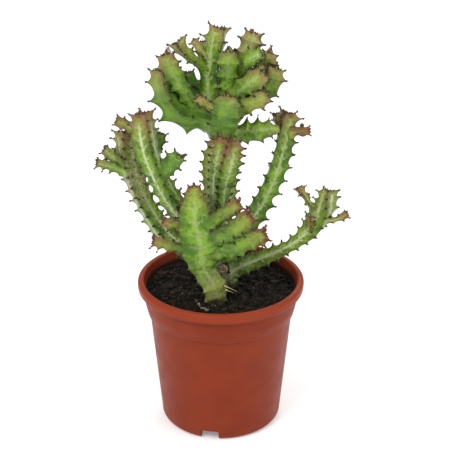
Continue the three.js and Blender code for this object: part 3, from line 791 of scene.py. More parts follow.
heap = []
plain_ball, fine_ball = ball_template(1), ball_template(2)
for count, ball, longest, widest, highest, reach, raised, palest in (
    (1500, plain_ball, (0.3, 1.0), (0.6, 1), (0.5, 0.9), 53, 0.1, 0.22),  # fine crumbs
    (520, fine_ball, (1.0, 2.6), (0.6, 0.9), (0.4, 0.8), 51, 0.15, 0.3),  # coarse crumbs
):
    for _ in range(count):
        size = random.uniform(*longest) * np.array(
            [1, random.uniform(*widest), random.uniform(*highest)])
        drop(ball, size, random_turn(), on_soil(reach), raised, random.uniform(0, palest))
BARK_CHIPS, PALE_GRAINS = 90, 90
for _ in range(BARK_CHIPS):
    size = random.uniform(1.8, 4.2), random.uniform(0.8, 1.7), random.uniform(0.3, 0.6)
    drop(fine_ball, size, lying_turn(0.18), on_soil(49), 0.35, random.uniform(0.25, 0.5))
for _ in range(PALE_GRAINS):
    size = random.uniform(0.25, 0.55) * np.ones(3)
    drop(plain_ball, size, random_turn(), on_soil(51), 0.3, random.uniform(0.65, 1))
print("heap:", len(heap), "crumbs, chips and grains")


# %% Fibres of peat and bark
FIBRES, FIBRE_POINTS = 130, 10
FIBRE_REACH = 52  # mm; a fibre that would end further out is left out


def tube(centres, radius, sides):
    """A thin tube through points; its ends are closed to a tip."""
    centres = np.asarray(centres, float)
    along = np.gradient(centres, axis=0)
    along /= np.linalg.norm(along, axis=1)[:, None]
    across = np.cross(along, (0.31, 0.2, 0.93))
    across /= np.linalg.norm(across, axis=1)[:, None]
    spokes = hoop(across[:, None], np.cross(along, across)[:, None], sides)
    points = (centres[:, None] + spokes * radius).reshape(-1, 3)
    faces = []
    for a, b, c, *d in closed_skin(len(centres), sides):
        faces += [(a, b, c), (a, c, *d)] if d else [(a, b, c)]
    return np.concatenate([points, centres[:1], centres[-1:]]), faces


for _ in range(FIBRES):
    x, y = on_soil(48)
    heading = random.uniform(0, 2 * math.pi)
    bend = random.uniform(-0.12, 0.12)
    step = random.uniform(0.5, 1.3)
    centres = []
    for k in range(FIBRE_POINTS):
        arch = 0.35 + 0.5 * math.sin(k / (FIBRE_POINTS - 1) * math.pi)
        centres.append((x, y, soil_height(x, y) + arch))
        heading += bend + random.uniform(-0.15, 0.15)
        x, y = x + step * math.cos(heading), y + step * math.sin(heading)
    if math.hypot(x, y) < FIBRE_REACH:
        thread = tube(centres, random.uniform(0.1, 0.22), 5)
        heap.append((*thread, {"paleness": random.uniform(0.2, 0.6)}))

# One bark chip lies by itself right of the stems, and a few pale ones at the front left.
for at, size, paleness in (
    ((27, -20), (5.2, 1.3, 0.8), 0.42), ((33, -25), (3.4, 1.6, 0.9), 0.34),
    ((-16.7, -25.6), (1.6, 0.9, 0.8), 0.8), ((-15.6, -29), (2.2, 1.0, 0.8), 0.86),
    ((-14, -32.6), (1.5, 1.1, 0.9), 0.9), ((-11.7, -36.4), (2.6, 1.0, 0.8), 0.8),
    ((-8.8, -39.6), (2.4, 0.9, 0.7), 0.76), ((-18.2, -21.5), (1.2, 0.8, 0.7), 0.7),
    ((14, -33), (3.0, 1.2, 0.8), 0.36),
):
    drop(fine_ball, size, lying_turn(0.1), at, 0.6, paleness)

crumbs = new_object("soil_crumbs", *join(heap))
crumbs.data.polygons.foreach_set("use_smooth", np.zeros(len(crumbs.data.polygons), bool))
crumbs.data.materials.append(earth)
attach(crumbs, "root")
print("crumbs and fibres:", len(crumbs.data.polygons), "faces")

# %% [markdown]
# ## How a stem grows
#
# A stem of this plant is a column with three or four thin ribs. Along each rib stand teeth
# with hollow arcs between them, each with a pair of spines. The faces between the ribs are
# hollow, with a pale stripe down the middle and pale veins that rise from it to the teeth.
# Such a form could be sculpted, but there are nearly fifty stems and shoots of it. Here the
# surface is a formula of two numbers instead: turn counts ribs round the stem, and teeth
# counts tooth steps back from the growing tip. So every mark, such as how near a point is to
# a rib's edge or a tooth, is known for each point and can be stored for the paint.

# %% Centre lines
SPAN_STEPS = 80
FRONT = np.array([0.0, -1.0, 0.0])


def centre_line(path):
    """A smooth curve through the path (a centripetal Catmull-Rom spline), finely sampled."""
    points = np.array(path, float)
    ends = np.vstack([2 * points[0] - points[1], points, 2 * points[-1] - points[-2]])
    t = np.linspace(0, 1, SPAN_STEPS, endpoint=False)[:, None]
    samples = []
    for p0, p1, p2, p3 in zip(ends, ends[1:], ends[2:], ends[3:]):
        d0, d1, d2 = (math.sqrt(np.linalg.norm(b - a)) for a, b in ((p0, p1), (p1, p2), (p2, p3)))
        leave = d1 * ((p1 - p0) / d0 - (p2 - p0) / (d0 + d1) + (p2 - p1) / d1)
        arrive = d1 * ((p2 - p1) / d1 - (p3 - p1) / (d1 + d2) + (p3 - p2) / d2)
        samples.append((2 * t**3 - 3 * t**2 + 1) * p1 + (t**3 - 2 * t**2 + t) * leave
                       + (3 * t**2 - 2 * t**3) * p2 + (t**3 - t**2) * arrive)
    samples = np.concatenate(samples + [points[-1:]])
    steps = np.linalg.norm(np.diff(samples, axis=0), axis=1)
    distance = np.concatenate([[0], np.cumsum(steps)])
    along = np.gradient(samples, distance, axis=0)
    along /= np.linalg.norm(along, axis=1)[:, None]
    return dict(samples=samples, distance=distance, along=along, length=distance[-1])


def frame_at(line, distance):
    """The centre at given distances from the foot, and what is along, in front and beside."""
    def along_line(values):
        return np.stack([np.interp(distance, line["distance"], values[:, i]) for i in range(3)], -1)

    along = along_line(line["along"])
    along /= np.linalg.norm(along, axis=-1, keepdims=True)
    beyond = distance - np.clip(distance, 0, line["length"])
    centre = along_line(line["samples"]) + along * beyond[..., None]
    front = FRONT - along * (along @ FRONT)[..., None]
    front /= np.linalg.norm(front, axis=-1, keepdims=True)
    return centre, along, front, np.cross(along, front)


check = centre_line(MAIN_STEM["path"])
print("main stem's centre line:", round(float(check["length"]), 1), "mm long")

# %% Where the teeth stand
TIP_PITCH = dict(least=2.2, most=0.7)  # limits of the tooth spacing at the growing tip: mm, pitches
CROWDED = 2.5  # over about this many teeth the spacing grows to the full pitch
DOME = dict(height=0.55, lift=0.25, blunt=0.6)  # the rounded growing tip, as shares of its girth


def tooth_arc(stem, teeth):
    """Length along a rib, from the growing tip down to a tooth. Young teeth stand closer."""
    pitch, girth = stem["pitch"], stem["girth"][-1]
    first = min(max(stem["tip_pitch"] * girth, TIP_PITCH["least"]), TIP_PITCH["most"] * pitch)
    crowding = (1 - first / pitch) * CROWDED * (1 - np.exp(-teeth / CROWDED))
    return pitch * (teeth - crowding)


def rib_course(stem, line):
    """The course of a rib's edge: up along the stem, then in over the dome to the tip."""
    girth = stem["girth"][-1]
    angle = np.linspace(0, math.pi / 2, 240)
    across = girth * np.sin(angle) ** DOME["blunt"]
    up = girth * DOME["height"] * np.cos(angle) ** DOME["blunt"]
    arc = np.concatenate([[0], np.cumsum(np.hypot(np.diff(across), np.diff(up)))])
    start = line["length"] + girth * (DOME["lift"] - DOME["height"])
    teeth = np.linspace(0, 60, 6001)
    whole = arc[-1] + start
    return dict(angle=angle, arc=arc, start=start, whole=whole,
                count=float(np.interp(whole, tooth_arc(stem, teeth), teeth)))


def tooth_shift(turn, ribs):
    """Teeth on neighbouring ribs stand at alternate heights."""
    rib = np.floor(turn).astype(int) % ribs
    here, there = (rib % 2) / 2, ((rib + 1) % ribs % 2) / 2
    return here + (there - here) * (turn % 1)


print("teeth up a rib of the main stem:",
      int(rib_course({**STEM_HABIT, **MAIN_STEM}, check)["count"]))


# %% The skin of a stem
# Shares are of the stem's radius, unless they say otherwise.
RIB_SHAPE = {3: dict(valley=0.42, sharp=2.0), 4: dict(valley=0.64, sharp=1.6)}  # by ribs
NECK_ROUND = 0.86  # the round foot, before the ribs rise
RIB_RISE = 0.3  # the ribs rise over at most this share of the stem's length
TOOTH_LEAN = 0.12  # how far the teeth lean up
CROWN_SINK = 0.3  # how far the faces sink below the ribs at the tip
EDGE_BLUNT = 0.035  # how rounded a rib's edge is, as a share of the way to the valley
HORN = dict(height=1.5, width=1.15, crown=0.8)  # the little point that carries the spines, in mm
HORN_FADE = 11  # mm from the tip over which the taller young horns fade out
PILLOW = 0.9  # how far the skin swells between veins, in mm
GROWN = 9  # mm; a stem that is thinner than this has smaller horns and pillows
VEIN_RISE = 0.55  # a vein climbs this many tooth steps from the stripe to its tooth
SWAY, OVAL, WANDER = 0.09, 0.03, 4  # irregular tooth heights (steps), girth and turn (degrees)
UNEVEN_NOTCH = 0.35  # how much the arcs between teeth differ in depth
CROWN_FADE = 17  # mm from the tip over which the colour of the crown fades out
WORN_REACH = 0.14  # half the length of a corky stretch, as a share of the stem's length
OLD_REACH, FOOT_REACH = 0.55, 0.4  # shares of the length over which cork and foot colour fade


def skin_points(stem, line, course, turn, teeth):
    """Points of the skin, with their marks, for arrays of turn and teeth of one shape."""
    ribs, length, pitch, seed = stem["ribs"], line["length"], stem["pitch"], stem["seed"]
    shape = RIB_SHAPE[ribs]
    from_foot = course["count"] - teeth
    settle = np.clip(teeth, 0, 1) * np.clip(from_foot, 0, 1)
    about = 2 * math.pi * turn / ribs
    sway = SWAY * np.sin(1.9 * teeth + seed) * np.cos(about + 2 * seed)
    arc = tooth_arc(stem, teeth + (tooth_shift(turn, ribs) + sway) * settle)
    arc = np.clip(arc, 0, course["whole"])
    angle = np.interp(arc, course["arc"], course["angle"])
    swell, up = np.sin(angle) ** DOME["blunt"], np.cos(angle)
    girth_end = stem["girth"][-1]
    distance = (course["start"] + girth_end * DOME["height"] * np.clip(up, 0, 1) ** DOME["blunt"]
                - np.clip(arc - course["arc"][-1], 0, None))
    share = np.clip(distance / length, 0, 1)
    radius = np.interp(share, np.linspace(0, 1, len(stem["girth"])), stem["girth"]) * swell
    radius = radius * (1 + OVAL * np.cos(about + seed + 0.8 * teeth) * settle)
    full = np.minimum(radius / GROWN, 1)

    from_rib = 2 * np.minimum(turn % 1, 1 - turn % 1)
    ribbed = smoothstep(0, min(RIB_RISE, stem["rise"] / length), share)
    blunt = np.clip(1 - np.hypot(from_rib, EDGE_BLUNT) + EDGE_BLUNT, 0, 1)
    edge = blunt ** shape["sharp"]
    since_tooth = teeth % 1
    between = np.sin(math.pi * since_tooth) ** 0.8
    core = NECK_ROUND + (shape["valley"] - NECK_ROUND) * ribbed
    uneven = 1 + UNEVEN_NOTCH * np.sin(5.3 * np.floor(teeth) + 2.9 * np.floor(turn + 0.5) + seed)
    reach = radius * (core + edge * (1 - core - stem["notch"] * between * ribbed * uneven))
    vein = teeth - VEIN_RISE * from_rib
    face = from_rib * (1 - 0.8 * from_rib) * np.clip(from_foot, 0, 1) * full
    reach = reach + PILLOW * face * np.sin(math.pi * vein) ** 2 * ribbed
    to_tooth = np.minimum(since_tooth, 1 - since_tooth) * pitch
    horn = np.exp(-to_tooth / HORN["width"]) * blunt**9 * full * ribbed
    young = np.exp(-arc / HORN_FADE)
    lean = radius * edge * ribbed * (1 - between) * TOOTH_LEAN
    sink = CROWN_SINK * girth_end * (1 - edge) * up * smoothstep(0, 4, arc)

    centre, along, front, side = frame_at(line, distance)
    wander = WANDER * np.sin(0.6 * teeth + seed) * settle
    around = about + np.radians(stem["roll"] + stem["twist"] * share + wander)
    outward = front * np.cos(around)[..., None] + side * np.sin(around)[..., None]
    facing = outward * np.sqrt(1 - np.clip(up, 0, 1) ** 2)[..., None] + along * up[..., None]
    points = (centre + outward * reach[..., None] + along * (lean - sink)[..., None]
              + facing * (horn * (HORN["height"] + HORN["crown"] * young))[..., None])
    marks = dict(
        rib_edge=np.clip(1 - from_rib, 0, 1) * ribbed,
        tooth_tip=np.exp(-((to_tooth / 1.5) ** 2)) * blunt**6 * ribbed,
        crown=stem["ripe"] * np.exp(-arc / CROWN_FADE),
        vein=vein,
        age=stem["old"] * smoothstep(OLD_REACH, 0, share)
        + stem["worn"] * np.exp(-(((share - stem["worn_at"]) / WORN_REACH) ** 2)),
        tone=stem["tone"] + (stem["foot_tone"] - stem["tone"]) * smoothstep(FOOT_REACH, 0, share),
    )
    return points, marks, facing, along


print("the middle of a face stands at", [shape["valley"] for shape in RIB_SHAPE.values()],
      "of the radius, for three and four ribs")


# %% One whole stem as a closed mesh
FACE_STEPS = (0, 0.035, 0.09, 0.17, 0.28, 0.42, 0.6, 0.8)  # from a rib's edge to the valley
TOOTH_STEPS = (0, 0.03, 0.08, 0.15, 0.25, 0.37, 0.5, 0.63, 0.75, 0.85, 0.92, 0.97)


def turns_round(ribs):
    """Where the points lie round a stem: closer together at the thin rib edges."""
    half = [step / 2 for step in FACE_STEPS]
    one_rib = half + [0.5] + [1 - step for step in reversed(half[1:])]
    return np.concatenate([np.array(one_rib) + rib for rib in range(ribs)])


def grow(stem):
    """The points, faces and marks of one stem without its shoots."""
    line = centre_line(stem["path"])
    course = rib_course(stem, line)
    count = course["count"]
    steps = [tooth + step for tooth in range(int(count) + 1) for step in TOOTH_STEPS]
    teeth = np.array([count] + [step for step in reversed(steps) if 0.02 < step < count - 0.05])
    turn = turns_round(stem["ribs"])
    grid_teeth, grid_turn = np.meshgrid(teeth, turn, indexing="ij")
    points, marks, _, _ = skin_points(stem, line, course, grid_turn, grid_teeth)
    tip, tip_marks, _, _ = skin_points(stem, line, course, np.zeros(1), np.zeros(1))
    flat = np.concatenate([points.reshape(-1, 3), [points[0].mean(axis=0)], tip])
    for name, values in marks.items():
        marks[name] = np.concatenate([values.reshape(-1), values[0, :1], tip_marks[name]])
    for name in ("blush", "stripe"):
        marks[name] = np.full(len(flat), stem[name])
    return flat, closed_skin(len(teeth), len(turn)), marks


def settings_of(stem, number):
    """A stem and then its shoots, with all settings. The seed makes each irregular anew."""
    apart = ("shoots", "habit", "dry_spikes")
    own = {key: value for key, value in stem.items() if key not in apart}
    main = {**STEM_HABIT, "seed": 1.7 * number, "foot_tone": stem["tone"], **own}
    family = [main]
    for i, shoot in enumerate(stem["shoots"]):
        inherited = {name: stem[name] for name in ("tone", "blush", "stripe")}
        inherited["stripe"] *= 0.7  # shoots are younger, and so less striped
        habit = {**SHOOT_HABIT, **inherited, **stem.get("habit", {}), **shoot}
        habit.setdefault("foot_tone", habit["tone"])
        family.append({**STEM_HABIT, "old": 0.15, **habit, "seed": 1.7 * number + 0.9 * (i + 1)})
    return family


print("main stem without shoots:", len(grow(settings_of(MAIN_STEM, 0)[0])[1]), "faces")

# %% [markdown]
# ### Where a shoot leaves its parent
#
# A shoot is a mesh of its own that starts inside its parent. Left so, the two would meet in
# a hard crease. A remesh could blend them, but it would smear the marks that the paint
# needs. So each point of the shoot near the parent's skin is pushed outwards a little, more
# the nearer it is, which gives the swollen collar that a real branch has.

# %% Collars and unevenness
COLLAR = dict(height=1.3, width=1.3, search=5.0)  # mm
UNEVEN = ((11, 0.35), (3.5, 0.12))  # size and height of the unevenness, in mm


def normals_of(points, faces):
    """Which way is out at each point."""
    mesh = bpy.data.meshes.new("measure")
    mesh.from_pydata(points.tolist(), [], faces)
    normals = np.zeros(len(points) * 3)
    mesh.vertex_normals.foreach_get("vector", normals)
    bpy.data.meshes.remove(mesh)
    return normals.reshape(-1, 3)


def add_collar(points, faces, parents):
    """Pushes points near the parents' skin outwards, and says how near each point is."""
    near = np.zeros(len(points))
    for parent in parents:
        for i, point in enumerate(points.tolist()):
            spot, normal, _, gap = parent.find_nearest(point, COLLAR["search"])
            if spot is not None:
                outside = gap if (Vector(point) - spot).dot(normal) > 0 else 0.0
                near[i] = max(near[i], math.exp(-outside / COLLAR["width"]))
    return points + normals_of(points, faces) * (COLLAR["height"] * near)[:, None], near


def roughen(points, faces):
    """Small swellings and hollows, as no plant is a perfect formula."""
    shift = np.array([sum(height * noise.noise(Vector(p) / size) for size, height in UNEVEN)
                      for p in points.tolist()])
    return points + normals_of(points, faces) * shift[:, None]


print("a collar stands", COLLAR["height"], "mm proud; the skin is uneven by",
      sum(height for _, height in UNEVEN), "mm")

# %% [markdown]
# ## The plant's skin
#
# The skin is waxy and satin, and a little light passes into the flesh. Its greens differ
# from stem to stem, and over them lie pale stripes and veins, brown rib edges, dark tooth
# tips, reddish young crowns and corky old bases. All that could be painted by hand. But the
# mesh already knows where each of these is, so one material serves all stems: it mixes the
# greens and lays over them what the marks place, with noise to make the borders ragged.

# %% Skin material
def plant_skin():
    """Layer over layer of paint, from the greens to the painted shade and soil on the feet."""
    material, tree, skin = new_material("plant_skin")
    cloud, fleck, speck = grain(tree, 8, 4), grain(tree, 1.8, 5, 0.65), grain(tree, 0.5, 2)
    rib, tip, crown = mark(tree, "rib_edge"), mark(tree, "tooth_tip"), mark(tree, "crown")
    tone, blush, age = mark(tree, "tone"), mark(tree, "blush"), mark(tree, "age")
    strength, collar = mark(tree, "stripe"), mark(tree, "collar")
    height = add(tree, "ShaderNodeSeparateXYZ", {0: place(tree)}).outputs["Z"]
    ragged = ramp(tree, fleck, 0.25, 0.75, -0.16, 0.16)
    across = maths(tree, "ADD", rib, ragged)

    # The greens, and how each face goes from light in its middle to a darker green beside the rib,
    # partly painted shade.
    middle = times(tree, ramp(tree, across, 0.5, 0.1), ramp(tree, strength, 0.0, 0.6, 0.1, 0.36))
    green = paint(tree, srgb(68, 107, 22), srgb(120, 160, 38), ramp(tree, cloud, 0.36, 0.64))
    for levels, share in (
        ((76, 120, 52), ramp(tree, tone, 0.1, -1.0, 0, 0.7)),  # bluish
        ((150, 156, 60), ramp(tree, tone, 0.1, 1.0, 0, 0.65)),  # yellowish
        ((190, 180, 130), ramp(tree, tone, 1.0, 2.0, 0, 0.75)),  # tan
        ((150, 148, 66), ramp(tree, crown, 0.05, 0.5, 0, 0.5)),  # towards a crown
        ((48, 80, 18), ramp(tree, fleck, 0.52, 0.72, 0, 0.6)),  # dark flecks
        ((132, 162, 60), middle),
        # a darker green beside the rib, partly painted shade
        ((52, 86, 24), ramp(tree, across, 0.5, 0.86, 0, 0.45)),
    ):
        green = paint(tree, green, srgb(*levels), share)

    # The pale stripe with its brighter core, and the veins. They fade out under a crown.
    wide = ramp(tree, grain(tree, 5, 3), 0.35, 0.65, 0.1, 0.26)
    wide = maths(tree, "ADD", wide, ramp(tree, strength, 1.0, 1.5, 0, 0.12))
    stripe = ramp(tree, maths(tree, "SUBTRACT", wide, across), -0.16, 0.1, 0, 0.9)
    stripe = times(tree, stripe, maths(tree, "MINIMUM", strength, 1.0))
    core = maths(tree, "ADD", rib, times(tree, ragged, 0.35))
    core = times(tree, ramp(tree, core, 0.2, 0.07), ramp(tree, strength, 0.88, 1.0))
    wave = maths(tree, "ADD", maths(tree, "PINGPONG", mark(tree, "vein"), 0.5), ragged)
    vein = times(tree, ramp(tree, wave, 0.2, -0.02), ramp(tree, rib, 0.9, 0.3))
    pale = maths(tree, "MAXIMUM", maths(tree, "MAXIMUM", stripe, core), times(tree, vein, strength))
    fading = ramp(tree, crown, 0.7, 0.3, 0, 0.85)

    # Olive blotches, then worn and corky places where the stem is old.
    blotch = ramp(tree, grain(tree, 3, 4, 0.6), 0.58, 0.7)
    blotch = times(tree, blotch, ramp(tree, across, 0.75, 0.3))
    worn = times(tree, age, ramp(tree, grain(tree, 2.6, 6, 0.7), 0.42, 0.58))
    cork = times(tree, age, ramp(tree, grain(tree, 1.2, 4, 0.6), 0.54, 0.64))
    for levels, share in (
        ((178, 188, 134), times(tree, pale, fading)),
        ((198, 206, 164), times(tree, core, times(tree, fading, 0.6))),
        ((136, 130, 72), times(tree, blotch, 0.6)),
        ((160, 150, 112), times(tree, worn, 0.7)),
        ((74, 52, 38), times(tree, cork, 0.8)),
    ):
        green = paint(tree, green, srgb(*levels), share)

    # The crown, olive-brown or red, and the thin rim along the ribs in the same colours.
    brown = paint(tree, srgb(146, 130, 82), srgb(116, 58, 42), blush)
    late = ramp(tree, blush, 0.3, 1.0, 0.26, 0.45)
    young = maths(tree, "ADD", times(tree, crown, maths(tree, "ADD", rib, 0.5)), ragged)
    young = ramp(tree, maths(tree, "SUBTRACT", young, late), -0.05, 0.5, 0, 0.9)
    green = paint(tree, green, brown, young)
    rim = ramp(tree, maths(tree, "ADD", rib, times(tree, ragged, 0.3)), 0.9, 1.0)
    rim = times(tree, rim, ramp(tree, crown, 0.0, 0.4, 0.2, 0.85))
    green = paint(tree, green, paint(tree, srgb(104, 82, 50), srgb(104, 54, 40), blush), rim)

    # Small marks, a callus with painted shade where a shoot leaves its parent, and painted shade
    # with soil on the feet: full at a height of 0.106 m, and gone at 0.113.
    foot_shade_and_soil = maths(tree, "ADD", ramp(tree, height, 0.1135, 0.1057), ragged)
    for levels, share in (
        ((46, 30, 22), ramp(tree, tip, 0.4, 0.9, 0, 0.95)),  # tooth tips
        ((190, 198, 156), ramp(tree, speck, 0.66, 0.76, 0, 0.35)),  # pale dots
        # a duller callus where a shoot leaves its parent, with painted shade in the crease
        ((84, 92, 44), ramp(tree, collar, 0.5, 1.0, 0, 0.4)),
        # painted shade with soil at the foot of each stem
        ((36, 34, 20), ramp(tree, foot_shade_and_soil, 0.45, 1.0, 0, 0.92)),
    ):
        green = paint(tree, green, srgb(*levels), share)

    tree.links.new(green, skin.inputs["Base Color"])
    tree.links.new(ramp(tree, cloud, 0.3, 0.7, 0.26, 0.46), skin.inputs["Roughness"])
    leathery = relief(tree, skin, grain(tree, 0.8, 4, 0.6), 0.08)
    relief(tree, skin, pale, 0.15, leathery)
    skin.inputs["Specular IOR Level"].default_value = 0.26
    skin.inputs["Subsurface Weight"].default_value = 0.06
    skin.inputs["Subsurface Radius"].default_value = (0.7, 1.0, 0.25)
    skin.inputs["Subsurface Scale"].default_value = 2.0 * MM
    return material


green_skin = plant_skin()
print("plant skin:", len(green_skin.node_tree.nodes), "nodes")

# %% [markdown]
# ## Spines
#
# Each tooth ends in a small dark shield with two spines that spread sideways. They are
# reddish while young, then brown, and nearly black towards the point. A spine is about
# 1.5 mm long. Hair strands would be quick to grow, but they have no root and don't leave
# with the mesh. So each spine is modelled, as a bent cone with a flared root.

# %% Spine material
def spine_horn():
    """Horn that darkens towards the point. Where youth is negative it is dead and pale."""
    material, tree, skin = new_material("spine_horn")
    length, young = mark(tree, "toward_tip"), mark(tree, "youth")
    horn = paint(tree, srgb(56, 40, 30), srgb(112, 40, 32), ramp(tree, young, 0.3, 0.9))
    horn = paint(tree, horn, srgb(24, 18, 15), ramp(tree, length, 0.1, 0.5))
    horn = paint(tree, horn, srgb(150, 146, 96), ramp(tree, young, -0.2, -0.8))
    tree.links.new(horn, skin.inputs["Base Color"])
    tree.links.new(ramp(tree, grain(tree, 1.0), 0.3, 0.7, 0.4, 0.6), skin.inputs["Roughness"])
    relief(tree, skin, grain(tree, 0.3), 0.03)
    return material


horn = spine_horn()
print("spine horn:", len(horn.node_tree.nodes), "nodes")

# %% Growing the spines
# Lengths in mm. A spine points outward, forward and to the side (spread) in these shares.
SPINE = dict(length=1.5, root=0.45, sides=6, apart=0.45, sunk=0.45, outward=0.8, forward=0.5,
             spread=0.4, bend=0.12, scatter=0.16)
SPINE_RINGS = ((-0.25, 1.9), (0.06, 1.5), (0.18, 0.95), (0.5, 0.6), (0.8, 0.3))  # way up, thickness
# Single young spines that crowd the growing tip, at these shares of a tooth step from it.
TUFT = dict(teeth=(0.35, 0.7), length=1.5, thicker=1.25, sunk=0.3, bend=0.1, scatter=0.25)


def one_spine(base, out, bend, length, thick):
    """One spine's points and faces, and how far towards its tip each point is."""
    centres = [base + out * way * length + bend * length * max(way, 0) ** 2
               for way, _ in SPINE_RINGS]
    across = np.cross(out, bend if np.linalg.norm(np.cross(out, bend)) > 1e-6 else FRONT)
    across /= np.linalg.norm(across)
    ring = hoop(across, np.cross(out, across), SPINE["sides"])
    points = [c + ring * thick * wide for c, (_, wide) in zip(centres, SPINE_RINGS)]
    tip = base + out * length + bend * length
    points = np.concatenate(points + [centres[0][None], tip[None]])
    toward_tip = np.repeat([max(way, 0) for way, _ in SPINE_RINGS], SPINE["sides"])
    return (points, closed_skin(len(SPINE_RINGS), SPINE["sides"]),
            np.concatenate([toward_tip, [0, 1]]))


def spines_of(stem):
    """A pair of spines on every tooth of a stem, and young ones crowding its growing tip."""
    line = centre_line(stem["path"])
    course = rib_course(stem, line)
    small = min(1.0, 0.55 + stem["girth"][-1] / 20)  # thin stems carry smaller spines
    redness = 0.35 + 0.65 * stem["blush"]
    grown = []
    for rib in range(stem["ribs"]):
        for tooth in range(1, int(course["count"] - 0.6)):
            where = np.array(float(rib)), np.array(float(tooth))
            tip, marks, outward, along = skin_points(stem, line, course, *where)
            if marks["rib_edge"] < 0.5:
                continue
            side = np.cross(along, outward)
            side /= max(np.linalg.norm(side), 1e-6)
            youth = float(marks["crown"]) * redness
            for way in (-1, 1):
                out = (outward * SPINE["outward"] + along * SPINE["forward"]
                       + side * way * SPINE["spread"])
                out = out + SPINE["scatter"] * random.normal(size=3)
                out /= np.linalg.norm(out)
                length = SPINE["length"] * small * random.uniform(0.7, 1.15)
                bend = SPINE["bend"] * (outward + along * 0.5)
                base = tip - outward * SPINE["sunk"] + side * way * SPINE["apart"]
                grown.append((base, out, bend, length, SPINE["root"] * small, youth))
        for tooth in TUFT["teeth"]:
            where = np.array(float(rib)), np.array(tooth)
            tip, _, outward, along = skin_points(stem, line, course, *where)
            out = outward + along * 0.5 + TUFT["scatter"] * random.normal(size=3)
            out /= np.linalg.norm(out)
            grown.append((tip - outward * TUFT["sunk"], out, TUFT["bend"] * outward,
                          TUFT["length"] * small, SPINE["root"] * TUFT["thicker"] * small, redness))
    return grown


print("a spine is", SPINE["length"], "mm long and has", len(SPINE_RINGS), "rings")

# %% [markdown]
# ## Growing all the stems
#
# Now the seven solids are replaced one after another. A collar needs to know where the skin
# of its parent is, so the main stem is kept as a search tree, and so is each stem while its
# shoots grow. Every stem becomes one piece for its skin and one for its spines, because the
# two have different finishes.

# %% The plants' round feet
ROUND = 48  # points round a foot, and round the cut stub
FOOT_SHY = 1.5  # mm by which the sides of a foot end below the solid's
# A foot has no ribs, so its marks are the same all over.
FOOT_MARKS = dict(rib_edge=0.4, tooth_tip=0, crown=0, vein=0.5, age=0.2, tone=-0.4, blush=0,
                  stripe=0, collar=0.3)
FEET = {"stem_centre": BACK_FOOT, "stem_front": FRONT_FOOT}


def foot_points(foot):
    """The plain round foot of a plant, from inside the soil to where its ribs begin."""
    x, y = foot["at"]
    turn = np.arange(ROUND) * 2 * math.pi / ROUND
    outline = ((foot["radius"] * 0.92, foot["bottom"]),
               (foot["radius"] * 0.96, foot["top"] - FOOT_SHY))
    rings = [np.stack([x + r * np.cos(turn), y + r * np.sin(turn), np.full(ROUND, z)], -1)
             for r, z in outline]
    points = np.concatenate(rings + [[(x, y, foot["bottom"])], [(x, y, foot["top"])]])
    return points, closed_skin(len(outline), ROUND)


print("feet:", [foot["at"] for foot in FEET.values()])

# %% All stems and their spines
DRY_SPIKE = dict(bend=0.08 * FRONT, thick=0.45, youth=-1)  # dead and pale

trunk = []  # the main stem's skin, which the arms and the head leave
for number, (node, piece_name, stem) in enumerate(PLAN):
    parts, spines, own = [], [], []
    for member in settings_of(stem, number):
        points, faces, marks = grow(member)
        points, marks["collar"] = add_collar(points, faces, trunk + own)
        points = roughen(points, faces)
        parts.append((points, faces, marks))
        own = own or [BVHTree.FromPolygons(points.tolist(), faces)]
        spines += spines_of(member)
    trunk = trunk or own
    for start, end in stem.get("dry_spikes", ()):
        reach = np.subtract(end, start)
        length = np.linalg.norm(reach)
        spines.append((np.array(start, float), reach / length, DRY_SPIKE["bend"], length,
                       DRY_SPIKE["thick"], DRY_SPIKE["youth"]))
    if node in FEET:
        parts.append((*foot_points(FEET[node]), FOOT_MARKS))
    piece = new_object(piece_name, *join(parts))
    piece.data.materials.append(green_skin)
    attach(piece, "root")
    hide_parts(node)

    needle_parts = []
    for *form, youth in spines:
        points, faces, toward_tip = one_spine(*form)
        needle_parts.append((points, faces, dict(toward_tip=toward_tip, youth=youth)))
    needles = new_object(piece_name + "_spines", *join(needle_parts))
    needles.data.materials.append(horn)
    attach(needles, "root")
    print(piece_name, len(piece.data.polygons), "faces,", len(spines), "spines")

# %% [markdown]
# ## The healed cut
#
# Low on the main stem a branch was cut off. Its end healed to a pale brown scar with rings,
# darker at the rim. The rings could be a wood texture, but that has its own middle. So the
# peg gets a material that reads the distance to the middle of its end, in metres.

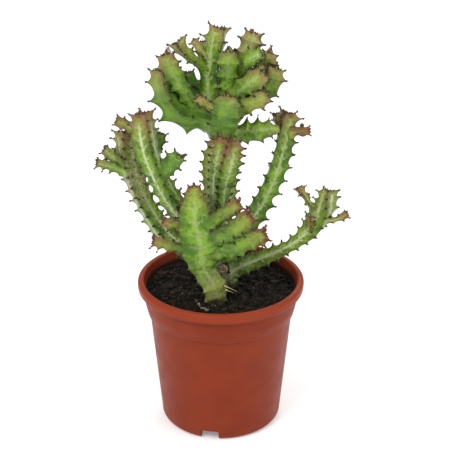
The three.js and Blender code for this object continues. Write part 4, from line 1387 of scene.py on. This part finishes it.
# %% The scar's material
def scar_material():
    """Pale rings of wood within a dark rim, and the green of the stem's skin outside it."""
    material, tree, skin = new_material("healed_cut")
    wires = {0: place(tree), 1: tuple(v * MM for v in CUT_STUB["end"])}
    middle = add(tree, "ShaderNodeVectorMath", wires, operation="DISTANCE").outputs["Value"]
    wobbly = maths(tree, "ADD", times(tree, grain(tree, 2.0, 4), 0.0016), middle)
    rings = maths(tree, "PINGPONG", wobbly, 0.0007)
    wood = paint(tree, srgb(218, 198, 166), srgb(120, 92, 66), ramp(tree, rings, 0.0, 0.0006))
    wood = paint(tree, wood, srgb(52, 40, 30), ramp(tree, wobbly, 0.0038, 0.0048))
    wood = paint(tree, wood, srgb(60, 66, 34), ramp(tree, middle, 0.0045, 0.0065))
    tree.links.new(wood, skin.inputs["Base Color"])
    skin.inputs["Roughness"].default_value = 0.8
    relief(tree, skin, grain(tree, 0.6, 5, 0.7), 0.15)
    return material


scar = scar_material()
print("healed cut:", len(scar.node_tree.nodes), "nodes")

# %% The cut stub
# Distances below the end in mm, and radii as shares of the stub's: the healed end is ringed.
SCAR_RINGS = ((1.2, 1.04), (0.3, 0.96), (0, 0.84), (0.5, 0.74), (0.2, 0.6), (0.6, 0.48),
              (0.3, 0.34), (0.7, 0.2), (0.5, 0.08))


def stub_points():
    """The stub of the branch that was cut off: a short round peg with a healed, ringed end."""
    start, end = (np.array(CUT_STUB[k], float) for k in ("start", "end"))
    length, radius = np.linalg.norm(end - start), CUT_STUB["radius"]
    along = (end - start) / length
    across = np.cross(along, (0, 0, 1.0))
    across /= np.linalg.norm(across)
    circle = hoop(across, np.cross(along, across), ROUND)
    turn = np.arange(ROUND) * 2 * math.pi / ROUND
    rings = []
    outline = [(0, 1.1), (length * 0.6, 1)] + [(length - down, share) for down, share in SCAR_RINGS]
    for up, share in outline:
        wobble = 1 + 0.05 * np.sin(3 * turn + up) + 0.03 * np.sin(7 * turn)
        rings.append(start + along * up + circle * (radius * share * wobble)[:, None])
    points = np.concatenate(rings + [start[None], (start + along * outline[-1][0])[None]])
    return points, closed_skin(len(rings), ROUND)


stub = new_object("cut_stub", *stub_points())
stub.data.materials.append(scar)
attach(stub, "root")
print("cut stub:", len(stub.data.polygons), "faces")
